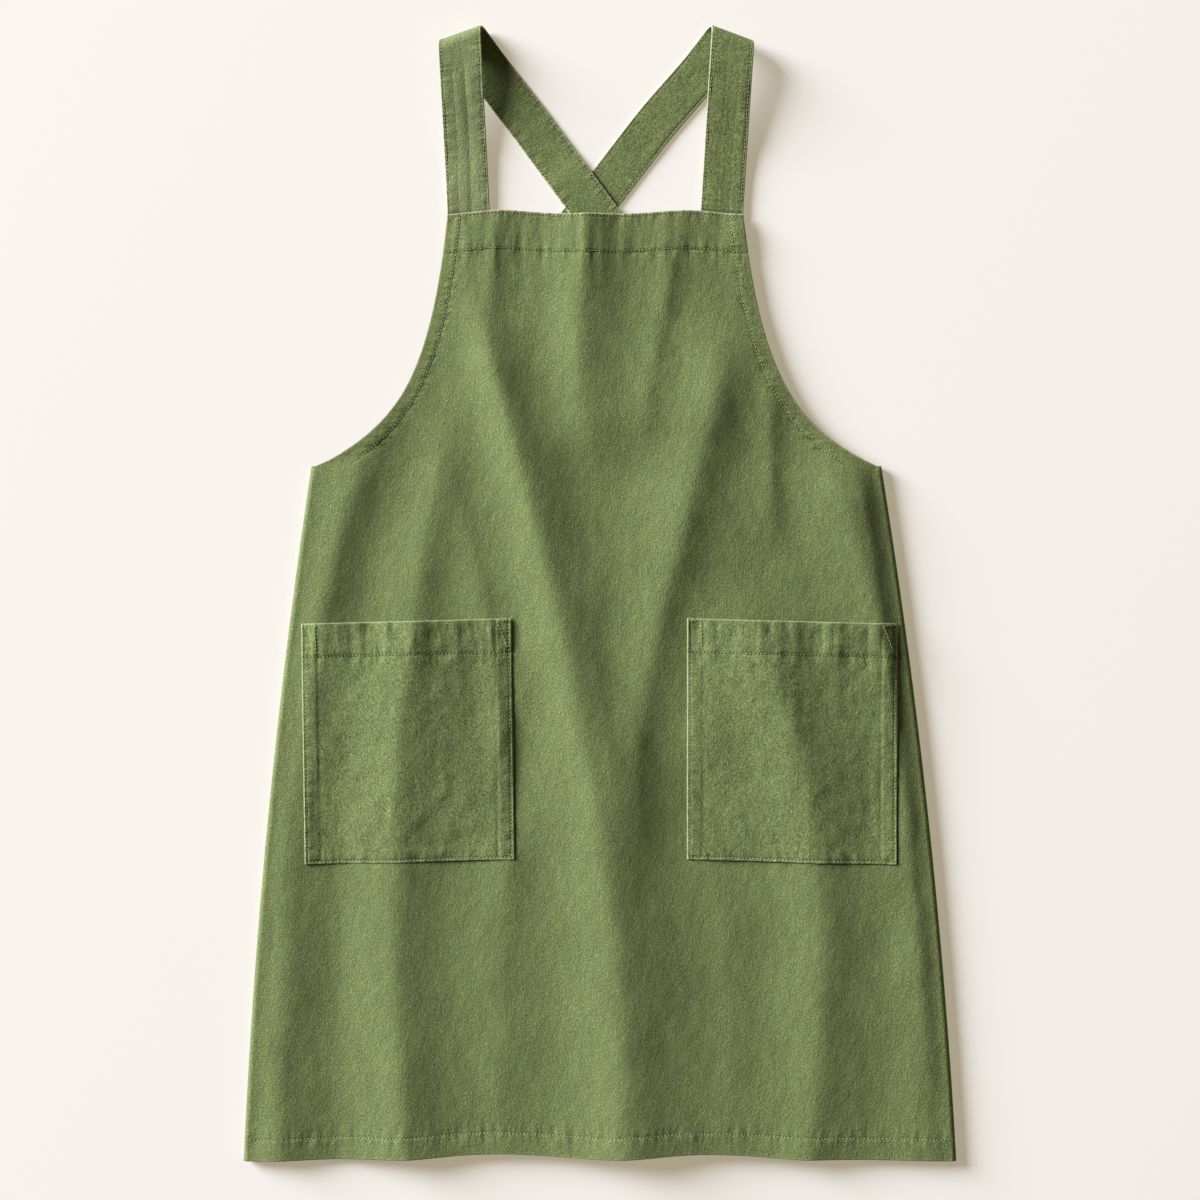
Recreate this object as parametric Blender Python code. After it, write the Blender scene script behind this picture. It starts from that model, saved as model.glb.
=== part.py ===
"""Cross back apron in washed canvas, lying flat with its front up.

One cloth body is folded round both sides, so its front lies over two plain back
panels. A strap rises from each bib corner, turns over at the shoulder, crosses the
other strap and is sewn inside the opposite back panel. Two patch pockets lie on the
front, and the turned hems are sheets of their own under it.

Metres, +Z up, +Y towards the shoulders, +X to the wearer's left as the front is
seen from above. Run it with: blender --background --python part.py
"""
import math

import bmesh
import bpy
from mathutils import Vector

# Cloth and the room between layers
SHEET = 0.001
STRAP_THICK = 0.002
SEAM_GAP = 0.00035
FACET_ROOM = 0.0003

# Body outline, seen from above; y is 0 at the bib's corners
BODY_LENGTH = 0.881
BIB_WIDTH = 0.275
WAIST_WIDTH = 0.531
HEM_WIDTH = 0.664
ARMHOLE_DEPTH = 0.2345
BIB_SHIFT = -0.0046
SIDE_BOW = 0.0085
BIB_TOP_RIPPLE = 0.0037
HEM_RISE = 0.0037
HEM_WAVE = 0.0037
HEM_WAVE_REACH = 0.6
RIPPLE_POWER = 1.5

# The armhole is one cubic curve, given by its two end directions and pulls
ARMHOLE_TOP_ANGLE = math.radians(6.6)
ARMHOLE_LOW_ANGLE = math.radians(25.1)
ARMHOLE_TOP_PULL = 0.62
ARMHOLE_LOW_PULL = 0.72

# Heights of the cloth above the floor
SIDE_FOLD_RADIUS = 0.0045
BIB_ROOM = 0.0016
FOLD_HEIGHT = 0.010
SIDE_FADE = 0.020

# Turned hems
BIB_HEM = 0.037
BOTTOM_HEM = 0.021
ARMHOLE_HEM = 0.0135

# Hidden back panels, measured in from the body's side
BACK_TOP_WIDTH = 0.117
BACK_HEM_WIDTH = 0.183

# Patch pockets
POCKET_WIDTH = 0.195
POCKET_HEIGHT = 0.224
POCKET_SPACING = 0.3566
POCKET_DROP = 0.3785
POCKET_TILT = math.radians(1.5)
POCKET_EASE = 0.0065

# Straps
STRAP_WIDTH = 0.040
STRAP_RISE = 0.1725
STRAP_TUCK = 0.030
STRAP_OVERLAP = 0.035
LOOP_RADIUS = 0.0095
LOOP_RUN = 0.115
CROSSING_RAMP = 0.030

# One row a strap: its side, its lean outwards, where it lands across the opposite
# back panel as a share from that panel's side, and whether it lies on the other
STRAPS = (
    {"name": "strap_left", "side": -1, "lean": 2.9, "landing": 0.70, "over": True},
    {"name": "strap_right", "side": 1, "lean": 3.6, "landing": 0.58, "over": False},
)

# One row a fold. Its crest runs from "start" to "end", shares of the body's length
# from the bib's top, through four places "path", shares of half the hem's width.
# "width" is the same share at both ends, and "height" a share of FOLD_HEIGHT.
FOLDS = (
    {"name": "main left", "start": 0.07, "end": 1.20, "fade": 0.10,
     "path": (-0.33, -0.10, 0.066, 0.10), "width": (0.075, 0.125), "height": (0.50, 1.00)},
    {"name": "main right", "start": 0.11, "end": 0.70, "fade": 0.13,
     "path": (0.37, 0.26, 0.16, 0.10), "width": (0.070, 0.075), "height": (0.55, 0.45)},
    {"name": "bib middle", "start": -0.10, "end": 0.27, "fade": 0.09,
     "path": (-0.04, -0.04, -0.045, -0.05), "width": (0.062, 0.070), "height": (0.30, 0.22)},
    {"name": "bib right", "start": -0.04, "end": 0.23, "fade": 0.08,
     "path": (0.225, 0.20, 0.165, 0.13), "width": (0.042, 0.048), "height": (0.20, 0.20)},
    {"name": "bib left", "start": -0.10, "end": 0.13, "fade": 0.06,
     "path": (-0.27, -0.275, -0.29, -0.31), "width": (0.042, 0.050), "height": (0.15, 0.20)},
    {"name": "left side", "start": 0.17, "end": 1.20, "fade": 0.08,
     "path": (-0.585, -0.85, -0.90, -0.90), "width": (0.058, 0.075), "height": (0.62, 0.45)},
    {"name": "left pocket", "start": 0.16, "end": 1.20, "fade": 0.16,
     "path": (-0.475, -0.49, -0.56, -0.56), "width": (0.070, 0.085), "height": (0.22, 0.55)},
    {"name": "right pocket", "start": 0.38, "end": 1.20, "fade": 0.12,
     "path": (0.455, 0.545, 0.615, 0.60), "width": (0.080, 0.090), "height": (0.30, 0.75)},
    {"name": "right armhole", "start": 0.17, "end": 0.34, "fade": 0.07,
     "path": (0.445, 0.465, 0.485, 0.51), "width": (0.042, 0.048), "height": (0.25, 0.20)},
    {"name": "right side", "start": 0.22, "end": 1.20, "fade": 0.10,
     "path": (0.69, 0.84, 0.92, 0.93), "width": (0.075, 0.075), "height": (0.42, 0.45)},
)

# How finely the sheets are divided
EDGE_COLUMNS = 2
POCKET_COLUMNS = 13
MIDDLE_COLUMNS = 11
FRONT_PARTS = (EDGE_COLUMNS, POCKET_COLUMNS, MIDDLE_COLUMNS, POCKET_COLUMNS, EDGE_COLUMNS)
FOLD_STEPS = 6
BACK_COLUMNS = 4
ARMHOLE_ROWS = 8
ROW_CROWDING = 1.6
ARMHOLE_STEPS = 160
FACING_STRIDE = 8
WAIST_ROWS = 4
POCKET_ROWS = 7
SKIRT_ROWS = 6
STRAP_STEP = 0.016
LOOP_STEP = 0.0036
PROFILE_STEP = 0.002

# The strap's flat pattern stays square to its fold over this much of its length
LOOP_ZONE = 0.030

# Canvas colours, one tone for each kind of piece
CANVAS = (0.155, 0.232, 0.085, 1.0)
CANVAS_LIGHT = (0.205, 0.285, 0.125, 1.0)
CANVAS_SHADE = (0.110, 0.165, 0.060, 1.0)

# Heights that follow from the sizes above
BACK_LEVEL = SHEET / 2
SKIRT_LEVEL = BACK_LEVEL + 2 * SIDE_FOLD_RADIUS
CROSSING_TOP = 2 * STRAP_THICK + SEAM_GAP
FACING_DROP = SHEET + SEAM_GAP
BIB_LEVEL = CROSSING_TOP + BIB_ROOM + SHEET / 2 + FACING_DROP
STRAP_LEVEL = STRAP_THICK / 2
STRAP_END_LEVEL = BIB_LEVEL - FACING_DROP - SHEET / 2 - SEAM_GAP - FACET_ROOM - STRAP_THICK / 2
SIDE_INSET = SIDE_FOLD_RADIUS + SHEET / 2
POCKET_TOP = -POCKET_DROP
POCKET_BOTTOM = -POCKET_DROP - POCKET_HEIGHT


def smooth(value):
    """Ease from 0 to 1 with level ends."""
    value = min(max(value, 0.0), 1.0)
    return value * value * (3.0 - 2.0 * value)


def mix(first, second, share):
    return first + (second - first) * share


def through_four(values, share):
    """The cubic through four values that stand at even shares of its length."""
    a, b, c, d = values
    t = 3.0 * share
    return (
        -a * (t - 1) * (t - 2) * (t - 3) / 6
        + b * t * (t - 2) * (t - 3) / 2
        - c * t * (t - 1) * (t - 3) / 2
        + d * t * (t - 1) * (t - 2) / 6
    )


# Outline

def armhole_curve():
    """Points of one armhole as (half width, y), from the bib's corner to the waist."""
    end_half = WAIST_WIDTH / 2 - SIDE_INSET
    start = Vector((BIB_WIDTH / 2, 0.0))
    end = Vector((end_half, -ARMHOLE_DEPTH))
    top_pull = ARMHOLE_TOP_PULL * ARMHOLE_DEPTH
    low_pull = ARMHOLE_LOW_PULL * (end_half - BIB_WIDTH / 2)
    near_start = start + top_pull * Vector((math.sin(ARMHOLE_TOP_ANGLE), -math.cos(ARMHOLE_TOP_ANGLE)))
    near_end = end + low_pull * Vector((-math.cos(ARMHOLE_LOW_ANGLE), math.sin(ARMHOLE_LOW_ANGLE)))
    points = []
    for step in range(ARMHOLE_STEPS + 1):
        t = step / ARMHOLE_STEPS
        rest = 1.0 - t
        points.append(
            rest**3 * start + 3 * rest**2 * t * near_start + 3 * rest * t**2 * near_end + t**3 * end
        )
    return points


ARMHOLE = armhole_curve()


def armhole_half_width(y):
    for upper, lower in zip(ARMHOLE, ARMHOLE[1:]):
        if y >= lower.y:
            share = (y - upper.y) / (lower.y - upper.y)
            return mix(upper.x, lower.x, share)
    return ARMHOLE[-1].x


def skirt_half_width(y):
    share = (-y - ARMHOLE_DEPTH) / (BODY_LENGTH - ARMHOLE_DEPTH)
    bow = SIDE_BOW * 4.0 * share * (1.0 - share)
    return mix(WAIST_WIDTH / 2, HEM_WIDTH / 2, share) + bow


def centre_x(y):
    """The body's middle line, which leans a little towards the bib."""
    return BIB_SHIFT * (1.0 + y / BODY_LENGTH)


def front_edge_x(side, y):
    """Where the flat of the front ends: at the armhole's edge or at the side fold."""
    if y > -ARMHOLE_DEPTH:
        return centre_x(y) + side * armhole_half_width(y)
    return centre_x(y) + side * (skirt_half_width(y) - SIDE_INSET)


def edge_lift(across, y):
    """How far the bib's top edge and the hem leave a straight line."""
    share = -y / BODY_LENGTH
    reach = min(abs(across), 1.0)
    ripple = BIB_TOP_RIPPLE * math.sin(math.pi * reach**RIPPLE_POWER) ** 2
    wave = HEM_WAVE * math.sin(math.pi * min(reach / HEM_WAVE_REACH, 1.0)) ** 2
    rise = HEM_RISE * (1.0 - reach**2) + wave
    return ripple * (1.0 - share) + rise * share


# Folds

def fold_height(fold, u, v):
    """Height that one fold adds at a place given in shares of the body's sizes."""
    along = (v - fold["start"]) / (fold["end"] - fold["start"])
    if along < 0.0 or along > 1.0:
        return 0.0
    crest = through_four(fold["path"], along)
    width = mix(*fold["width"], along)
    height = mix(*fold["height"], along) * FOLD_HEIGHT
    fade = smooth((v - fold["start"]) / fold["fade"]) * smooth((fold["end"] - v) / fold["fade"])
    return height * fade * math.exp(-(((u - crest) / width) ** 2))


def front_level(x, y):
    """Height of the middle of the front's cloth."""
    u = 2.0 * x / HEM_WIDTH
    v = -y / BODY_LENGTH
    base = mix(BIB_LEVEL, SKIRT_LEVEL, smooth(-y / ARMHOLE_DEPTH))
    folds = sum(fold_height(fold, u, v) for fold in FOLDS)
    if y <= -ARMHOLE_DEPTH:
        side = 1 if x > centre_x(y) else -1
        folds *= smooth(side * (front_edge_x(side, y) - x) / SIDE_FADE)
    else:
        near = smooth((y + ARMHOLE_DEPTH) / SIDE_FADE)
        side = 1 if x > centre_x(y) else -1
        folds *= mix(smooth(side * (front_edge_x(side, y) - x) / SIDE_FADE), 1.0, near)
    return base + folds


# Meshes

def new_material(name, colour):
    material = bpy.data.materials.new(name)
    material.use_nodes = True
    shader = material.node_tree.nodes["Principled BSDF"]
    shader.inputs["Base Color"].default_value = colour
    shader.inputs["Roughness"].default_value = 0.9
    shader.inputs["Metallic"].default_value = 0.0
    return material


def sheet_object(name, grid, thickness, colour):
    """Join a grid of points {(row, column): point} into a sheet with real thickness."""
    mesh = bpy.data.meshes.new(name)
    work = bmesh.new()
    corners = {key: work.verts.new(point) for key, point in grid.items()}
    for row, column in grid:
        around = [(row, column), (row + 1, column), (row + 1, column + 1), (row, column + 1)]
        if all(key in corners for key in around):
            work.faces.new([corners[key] for key in around])
    work.to_mesh(mesh)
    work.free()
    mesh.shade_smooth()
    piece = bpy.data.objects.new(name, mesh)
    bpy.context.scene.collection.objects.link(piece)
    mesh.materials.append(new_material(name + "_canvas", colour))
    solid = piece.modifiers.new("thickness", "SOLIDIFY")
    solid.thickness = thickness
    solid.offset = 0.0
    return piece


# Rows and columns of the front

def row_heights():
    """The y of each row at the body's edge, and the numbers of its key rows."""
    rows = [0.0, -BIB_HEM / 2, -BIB_HEM]
    for step in range(1, ARMHOLE_ROWS + 1):
        share = 1.0 - (1.0 - step / ARMHOLE_ROWS) ** ROW_CROWDING
        rows.append(-mix(BIB_HEM, ARMHOLE_DEPTH, share))
    keys = {"waist": len(rows) - 1}
    hem_top = BOTTOM_HEM - BODY_LENGTH
    stretches = (
        ("pocket top", -ARMHOLE_DEPTH, POCKET_TOP, WAIST_ROWS),
        ("pocket bottom", POCKET_TOP, POCKET_BOTTOM, POCKET_ROWS),
        ("hem top", POCKET_BOTTOM, hem_top, SKIRT_ROWS),
        ("hem", hem_top, -BODY_LENGTH, 1),
    )
    for key, upper, lower, count in stretches:
        rows += [mix(upper, lower, step / count) for step in range(1, count + 1)]
        keys[key] = len(rows) - 1
    return rows, keys


def pocket_side_x(side, inner, y):
    """Where a pocket's side lies at a height between its mouth and its bottom."""
    half = -POCKET_WIDTH / 2 if inner else POCKET_WIDTH / 2
    lean = (y - (POCKET_TOP + POCKET_BOTTOM) / 2) * math.tan(POCKET_TILT)
    return side * (POCKET_SPACING / 2 + half + lean)


def column_shares(y):
    """Shares across the front for its columns, which follow the pockets' sides."""
    level = min(max(y, POCKET_BOTTOM), POCKET_TOP)
    left = front_edge_x(-1, level)
    right = front_edge_x(1, level)
    stops = [left]
    stops += [pocket_side_x(-1, inner, level) for inner in (False, True)]
    stops += [pocket_side_x(1, inner, level) for inner in (True, False)]
    stops.append(right)
    shares = []
    for count, first, last in zip(FRONT_PARTS, stops, stops[1:]):
        shares += [(mix(first, last, step / count) - left) / (right - left) for step in range(count)]
    return shares + [1.0]


def column_tilts(y):
    """How far each column's point leaves its row, to follow the pockets' tilted ends."""
    if y > POCKET_TOP:
        near = smooth((y + ARMHOLE_DEPTH) / (POCKET_TOP + ARMHOLE_DEPTH))
    elif y < POCKET_BOTTOM:
        near = smooth((y + BODY_LENGTH) / (POCKET_BOTTOM + BODY_LENGTH))
    else:
        near = 1.0
    if y >= -ARMHOLE_DEPTH:
        near = 0.0
    reach = near * POCKET_WIDTH / 2 * math.tan(POCKET_TILT)
    stops = (0.0, -reach, reach, reach, -reach, 0.0)
    tilts = []
    for count, first, last in zip(FRONT_PARTS, stops, stops[1:]):
        tilts += [mix(first, last, step / count) for step in range(count)]
    return tilts + [0.0]


def front_row(y, inset=0.0):
    """One row of points across the front; inset moves it inside the fold."""
    points = []
    for share, tilt in zip(column_shares(y), column_tilts(y)):
        x = mix(front_edge_x(-1, y), front_edge_x(1, y), share)
        place = y + tilt + edge_lift(2.0 * share - 1.0, y)
        points.append(Vector((x, place, front_level(x, place) - inset)))
    return points


# Body

def side_point(side, share, y, inset=0.0):
    """A point of the side fold, share 0 at the front and 1 at the back panel."""
    turn = math.pi * share
    radius = SIDE_FOLD_RADIUS - inset
    x = front_edge_x(side, y) + side * radius * math.sin(turn)
    z = BACK_LEVEL + SIDE_FOLD_RADIUS + radius * math.cos(turn)
    return Vector((x, y, z))


def back_point(side, share, y, inset=0.0):
    """A point of a back panel, share 0 at the side fold and 1 at its inner edge."""
    down = (-y - ARMHOLE_DEPTH) / (BODY_LENGTH - ARMHOLE_DEPTH)
    width = mix(BACK_TOP_WIDTH, BACK_HEM_WIDTH, down) - SIDE_INSET
    x = front_edge_x(side, y) - side * width * share
    return Vector((x, y, BACK_LEVEL + inset))


def wing_row(side, y, inset=0.0):
    """Points from the front's edge round the side fold to the back panel's inner edge."""
    fold = [side_point(side, step / FOLD_STEPS, y, inset) for step in range(1, FOLD_STEPS)]
    panel = [back_point(side, step / BACK_COLUMNS, y, inset) for step in range(BACK_COLUMNS + 1)]
    return fold + panel


def round_row(y, inset=0.0):
    """One row of points round the body, from the left panel's inner edge to the right's."""
    return wing_row(-1, y, inset)[::-1] + front_row(y, inset) + wing_row(1, y, inset)


def make_body(rows, keys):
    wing = FOLD_STEPS + BACK_COLUMNS
    grid = {}
    for number, y in enumerate(rows):
        if number < keys["waist"]:
            for column, point in enumerate(front_row(y)):
                grid[number, wing + column] = point
        else:
            for column, point in enumerate(round_row(y)):
                grid[number, column] = point
    return sheet_object("apron_body", grid, SHEET, CANVAS)


def make_bib_facing(rows):
    grid = {}
    for number, y in enumerate(rows[:3]):
        for column, point in enumerate(front_row(y, FACING_DROP)):
            grid[number, column] = point
    return sheet_object("bib_facing", grid, SHEET, CANVAS_SHADE)


def make_hem_facing():
    grid = {}
    for number, y in enumerate((BOTTOM_HEM - BODY_LENGTH, -BODY_LENGTH)):
        for column, point in enumerate(round_row(y, FACING_DROP)):
            grid[number, column] = point
    return sheet_object("hem_facing", grid, SHEET, CANVAS_SHADE)


def make_armhole_facing(name, side):
    """A strip under the armhole's edge, from the bib's facing to the waist."""
    grid = {}
    start = -BIB_HEM - 2 * SEAM_GAP
    curve = [point for point in ARMHOLE if point.y < start][::FACING_STRIDE]
    for number, (here, ahead) in enumerate(zip(curve, curve[1:])):
        along = (ahead - here).normalized()
        inwards = Vector((along.y, -along.x))
        if inwards.x > 0.0:
            inwards = -inwards
        for column in range(3):
            place = here + inwards * ARMHOLE_HEM * column / 2
            y = min(place.y, start)
            x = centre_x(y) + side * place.x
            z = front_level(x, y) - FACING_DROP - 2 * FACET_ROOM
            grid[number, side * column] = Vector((x, y, z))
    return sheet_object(name, grid, SHEET, CANVAS_SHADE)


# Pockets

def make_pocket(name, side, rows, keys):
    """A patch on the front's own rows and columns, eased open towards its mouth."""
    first = FRONT_PARTS[0] if side < 0 else sum(FRONT_PARTS[:3])
    grid = {}
    for row in range(keys["pocket top"], keys["pocket bottom"] + 1):
        points = front_row(rows[row])
        down = (row - keys["pocket top"]) / POCKET_ROWS
        for step in range(POCKET_COLUMNS + 1):
            ease = POCKET_EASE * math.sin(math.pi * step / POCKET_COLUMNS) * math.cos(math.pi * down / 2)
            grid[row, step] = points[first + step] + Vector((0.0, 0.0, SHEET + SEAM_GAP + ease))
    return sheet_object(name, grid, SHEET, CANVAS_LIGHT)


# Straps

def strap_frame(strap):
    """Where a strap starts, turns over and lands, and its fold's directions."""
    side = strap["side"]
    start = Vector((front_edge_x(side, 0.0) - side * STRAP_WIDTH / 2, 0.0))
    turn = start + STRAP_RISE * Vector((side * math.tan(math.radians(strap["lean"])), 1.0))
    waist = -ARMHOLE_DEPTH
    panel_side = front_edge_x(-side, waist) - side * SIDE_INSET
    land = Vector((panel_side + side * strap["landing"] * BACK_TOP_WIDTH, waist - STRAP_OVERLAP / 2))
    rising = (turn - start).normalized()
    falling = (land - turn).normalized()
    normal = (rising - falling).normalized()
    fold = (rising + falling).normalized()
    return {
        "start": start, "turn": turn, "land": land, "rising": rising, "falling": falling,
        "normal": normal, "fold": fold,
        "cos": rising.dot(normal), "sin": rising.dot(fold),
    }


def crossing(frame, other):
    """Distances along both straps, from where they turn over, to where they cross."""
    gap = other["turn"] - frame["turn"]
    a = frame["falling"]
    b = other["falling"]
    spread = a.x * b.y - a.y * b.x
    return (gap.x * b.y - gap.y * b.x) / spread, spread


def rise_profile():
    """The front stretch from the loop back to the bib, as (t, h, z) with t its length."""
    top = STRAP_LEVEL + 2 * LOOP_RADIUS
    t = -math.pi * LOOP_RADIUS / 2
    h = -LOOP_RADIUS
    points = [(t, h, top)]
    reach = STRAP_RISE + STRAP_TUCK + STRAP_WIDTH
    while h > -reach:
        h -= PROFILE_STEP
        fall = smooth((-LOOP_RADIUS - h) / LOOP_RUN)
        z = mix(top, STRAP_END_LEVEL, fall)
        t -= math.hypot(PROFILE_STEP, z - points[-1][2])
        points.append((t, h, z))
    return points


RISE = rise_profile()


def strap_profile(t):
    """Height and reach of the strap at a length t past the loop's outermost line."""
    quarter = math.pi * LOOP_RADIUS / 2
    if t > quarter:
        return -LOOP_RADIUS - (t - quarter), STRAP_LEVEL
    if t >= -quarter:
        turn = t / LOOP_RADIUS
        reach = LOOP_RADIUS * (math.cos(turn) - 1.0)
        return reach, STRAP_LEVEL + LOOP_RADIUS * (1.0 - math.sin(turn))
    for near, far in zip(RISE, RISE[1:]):
        if t >= far[0]:
            share = (t - near[0]) / (far[0] - near[0])
            return mix(near[1], far[1], share), mix(near[2], far[2], share)
    return RISE[-1][1], RISE[-1][2]


def strap_lift(strap, frame, other, along, y):
    """Extra height where a strap passes over the other one or over a back panel."""
    lift = 0.0
    if strap["over"]:
        where, spread = crossing(frame, other)
        slant = abs(frame["falling"].dot(other["falling"]))
        half = (STRAP_WIDTH / 2) * (1.0 + slant) / abs(spread)
        past = abs(along - where) - half - STRAP_THICK
        lift = (STRAP_THICK + SEAM_GAP) * smooth(1.0 - past / CROSSING_RAMP)
    corner = STRAP_WIDTH / 2 * abs(frame["falling"].x)
    above = y + ARMHOLE_DEPTH - corner - SHEET
    panel = (SHEET + SEAM_GAP) * smooth(1.0 - above / CROSSING_RAMP)
    return max(lift, panel)


def strap_stations(frame):
    """Lengths along a strap for its rows, closer together where it turns over."""
    front = (frame["turn"] - frame["start"]).length + STRAP_TUCK
    back = (frame["land"] - frame["turn"]).length + STRAP_OVERLAP / 2
    stations = []
    for first, last, step in ((-front, -LOOP_ZONE, STRAP_STEP), (-LOOP_ZONE, LOOP_ZONE, LOOP_STEP),
                              (LOOP_ZONE, back, STRAP_STEP)):
        count = max(1, round((last - first) / step))
        stations += [mix(first, last, number / count) for number in range(count)]
    return stations + [back]


def strap_point(strap, frame, other, station, across):
    """A point of a strap; rows lie along the fold's axis near the loop."""
    beside = abs(station) - LOOP_ZONE
    slanted = 1.0 - smooth(beside / (2 * LOOP_ZONE))
    along = station + across * frame["sin"] / frame["cos"] * slanted
    t = along * frame["cos"] - across * frame["sin"]
    q = along * frame["sin"] + across * frame["cos"]
    h, z = strap_profile(t)
    centre = frame["turn"] - (math.pi / 2 - 1.0) * LOOP_RADIUS * frame["normal"]
    place = centre + q * frame["fold"] + h * frame["normal"]
    if station > LOOP_ZONE:
        z += strap_lift(strap, frame, other, along, place.y)
    return Vector((place.x, place.y, z))


def make_strap(strap, other):
    frame = strap_frame(strap)
    other_frame = strap_frame(other)
    grid = {}
    for row, station in enumerate(strap_stations(frame)):
        for column in (-1, 0, 1):
            across = column * STRAP_WIDTH / 2
            point = strap_point(strap, frame, other_frame, station, across)
            grid[row, -strap["side"] * column] = point
    return sheet_object(strap["name"], grid, STRAP_THICK, CANVAS_LIGHT)


# Assembly

def put_origin_under_middle(pieces):
    """Hold every piece by one empty that puts the origin at the box's bottom centre."""
    bpy.context.view_layer.update()
    graph = bpy.context.evaluated_depsgraph_get()
    corners = []
    for piece in pieces:
        corners += [Vector(corner) for corner in piece.evaluated_get(graph).bound_box]
    holder = bpy.data.objects.new("apron", None)
    bpy.context.scene.collection.objects.link(holder)
    middle_x = (min(c.x for c in corners) + max(c.x for c in corners)) / 2
    middle_y = (min(c.y for c in corners) + max(c.y for c in corners)) / 2
    holder.location = (-middle_x, -middle_y, -min(c.z for c in corners))
    for piece in pieces:
        piece.parent = holder
    bpy.context.view_layer.update()


def main():
    for thing in list(bpy.data.objects):
        bpy.data.objects.remove(thing, do_unlink=True)
    rows, keys = row_heights()
    pieces = [
        make_body(rows, keys),
        make_bib_facing(rows),
        make_hem_facing(),
        make_armhole_facing("armhole_facing_left", -1),
        make_armhole_facing("armhole_facing_right", 1),
        make_pocket("pocket_left", -1, rows, keys),
        make_pocket("pocket_right", 1, rows, keys),
        make_strap(STRAPS[0], STRAPS[1]),
        make_strap(STRAPS[1], STRAPS[0]),
    ]
    put_origin_under_middle(pieces)


main()
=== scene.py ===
import math

import bpy
import numpy as np
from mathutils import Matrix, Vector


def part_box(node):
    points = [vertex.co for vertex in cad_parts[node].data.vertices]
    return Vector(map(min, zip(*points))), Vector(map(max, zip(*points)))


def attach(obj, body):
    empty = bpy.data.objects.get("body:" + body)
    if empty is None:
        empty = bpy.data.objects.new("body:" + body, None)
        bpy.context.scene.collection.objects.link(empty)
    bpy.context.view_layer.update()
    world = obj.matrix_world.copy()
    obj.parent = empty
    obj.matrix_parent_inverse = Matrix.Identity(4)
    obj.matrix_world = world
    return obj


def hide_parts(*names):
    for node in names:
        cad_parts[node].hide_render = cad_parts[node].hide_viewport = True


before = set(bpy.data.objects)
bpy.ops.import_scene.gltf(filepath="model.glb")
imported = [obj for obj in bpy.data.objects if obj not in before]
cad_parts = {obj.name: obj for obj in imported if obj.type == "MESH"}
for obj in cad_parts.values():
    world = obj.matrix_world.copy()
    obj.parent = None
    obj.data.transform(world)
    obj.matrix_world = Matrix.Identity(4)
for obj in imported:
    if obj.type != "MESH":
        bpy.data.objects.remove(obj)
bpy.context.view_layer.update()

# Cloth and outline in metres, the same as in the solids
SHEET = 0.001
STRAP_THICK = 0.002
SEAM_GAP = 0.00035
FACET_ROOM = 0.0003
BODY_LENGTH = 0.881
BIB_WIDTH = 0.275
WAIST_WIDTH = 0.531
HEM_WIDTH = 0.664
ARMHOLE_DEPTH = 0.2345
BIB_SHIFT = -0.0046
SIDE_BOW = 0.0085
BIB_TOP_RIPPLE = 0.0037
HEM_RISE = 0.0037
HEM_WAVE = 0.0037
HEM_WAVE_REACH = 0.6
RIPPLE_POWER = 1.5
ARMHOLE_TOP_ANGLE = math.radians(6.6)
ARMHOLE_LOW_ANGLE = math.radians(25.1)
ARMHOLE_TOP_PULL = 0.62
ARMHOLE_LOW_PULL = 0.72
SIDE_FOLD_RADIUS = 0.0045
BIB_ROOM = 0.0016
BIB_HEM = 0.037
BOTTOM_HEM = 0.021
ARMHOLE_HEM = 0.0135
BACK_TOP_WIDTH = 0.117
BACK_HEM_WIDTH = 0.183
POCKET_WIDTH = 0.195
POCKET_HEIGHT = 0.224
POCKET_SPACING = 0.3566
POCKET_DROP = 0.3785
POCKET_TILT = math.radians(1.5)
POCKET_EASE = 0.0065
POCKET_HEM = 0.032
STRAP_WIDTH = 0.04
STRAP_RISE = 0.1725
STRAP_TUCK = 0.03
STRAP_OVERLAP = 0.035
LOOP_RADIUS = 0.0095
LOOP_RUN = 0.115
CROSSING_RAMP = 0.03

# Shape that only the visible cloth has
FOLD_HEIGHT = 0.013
NARROWEST = 0.028
SIDE_FADE = (0.034, 0.02)
POCKET_LEAN = {-1: 0.55, 1: 0.0}
BACK_DRIFT = (-0.0018, 0.0048)
DRIFT_REACH = 0.1
CROSSING_PLACE = 0.007
CROSSING_REACH = (0.035, 0.055)
STRAP_CREASES = (-0.0075, 0.0035)
LOOP_ZONE = 0.03

# lean is in degrees, landing a share of the back panel's width, roll a slope, and fade the share of painted
# highlight, carried in the wear mark, that pales the strap's front stretch
STRAPS = (
    {"name": "strap_left", "side": -1, "lean": 2.9, "landing": 0.7, "over": True, "roll": 0.11, "fade": 0.16},
    {"name": "strap_right", "side": 1, "lean": 3.6, "landing": 0.58, "over": False, "roll": 0.0, "fade": 0.0},
)

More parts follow.
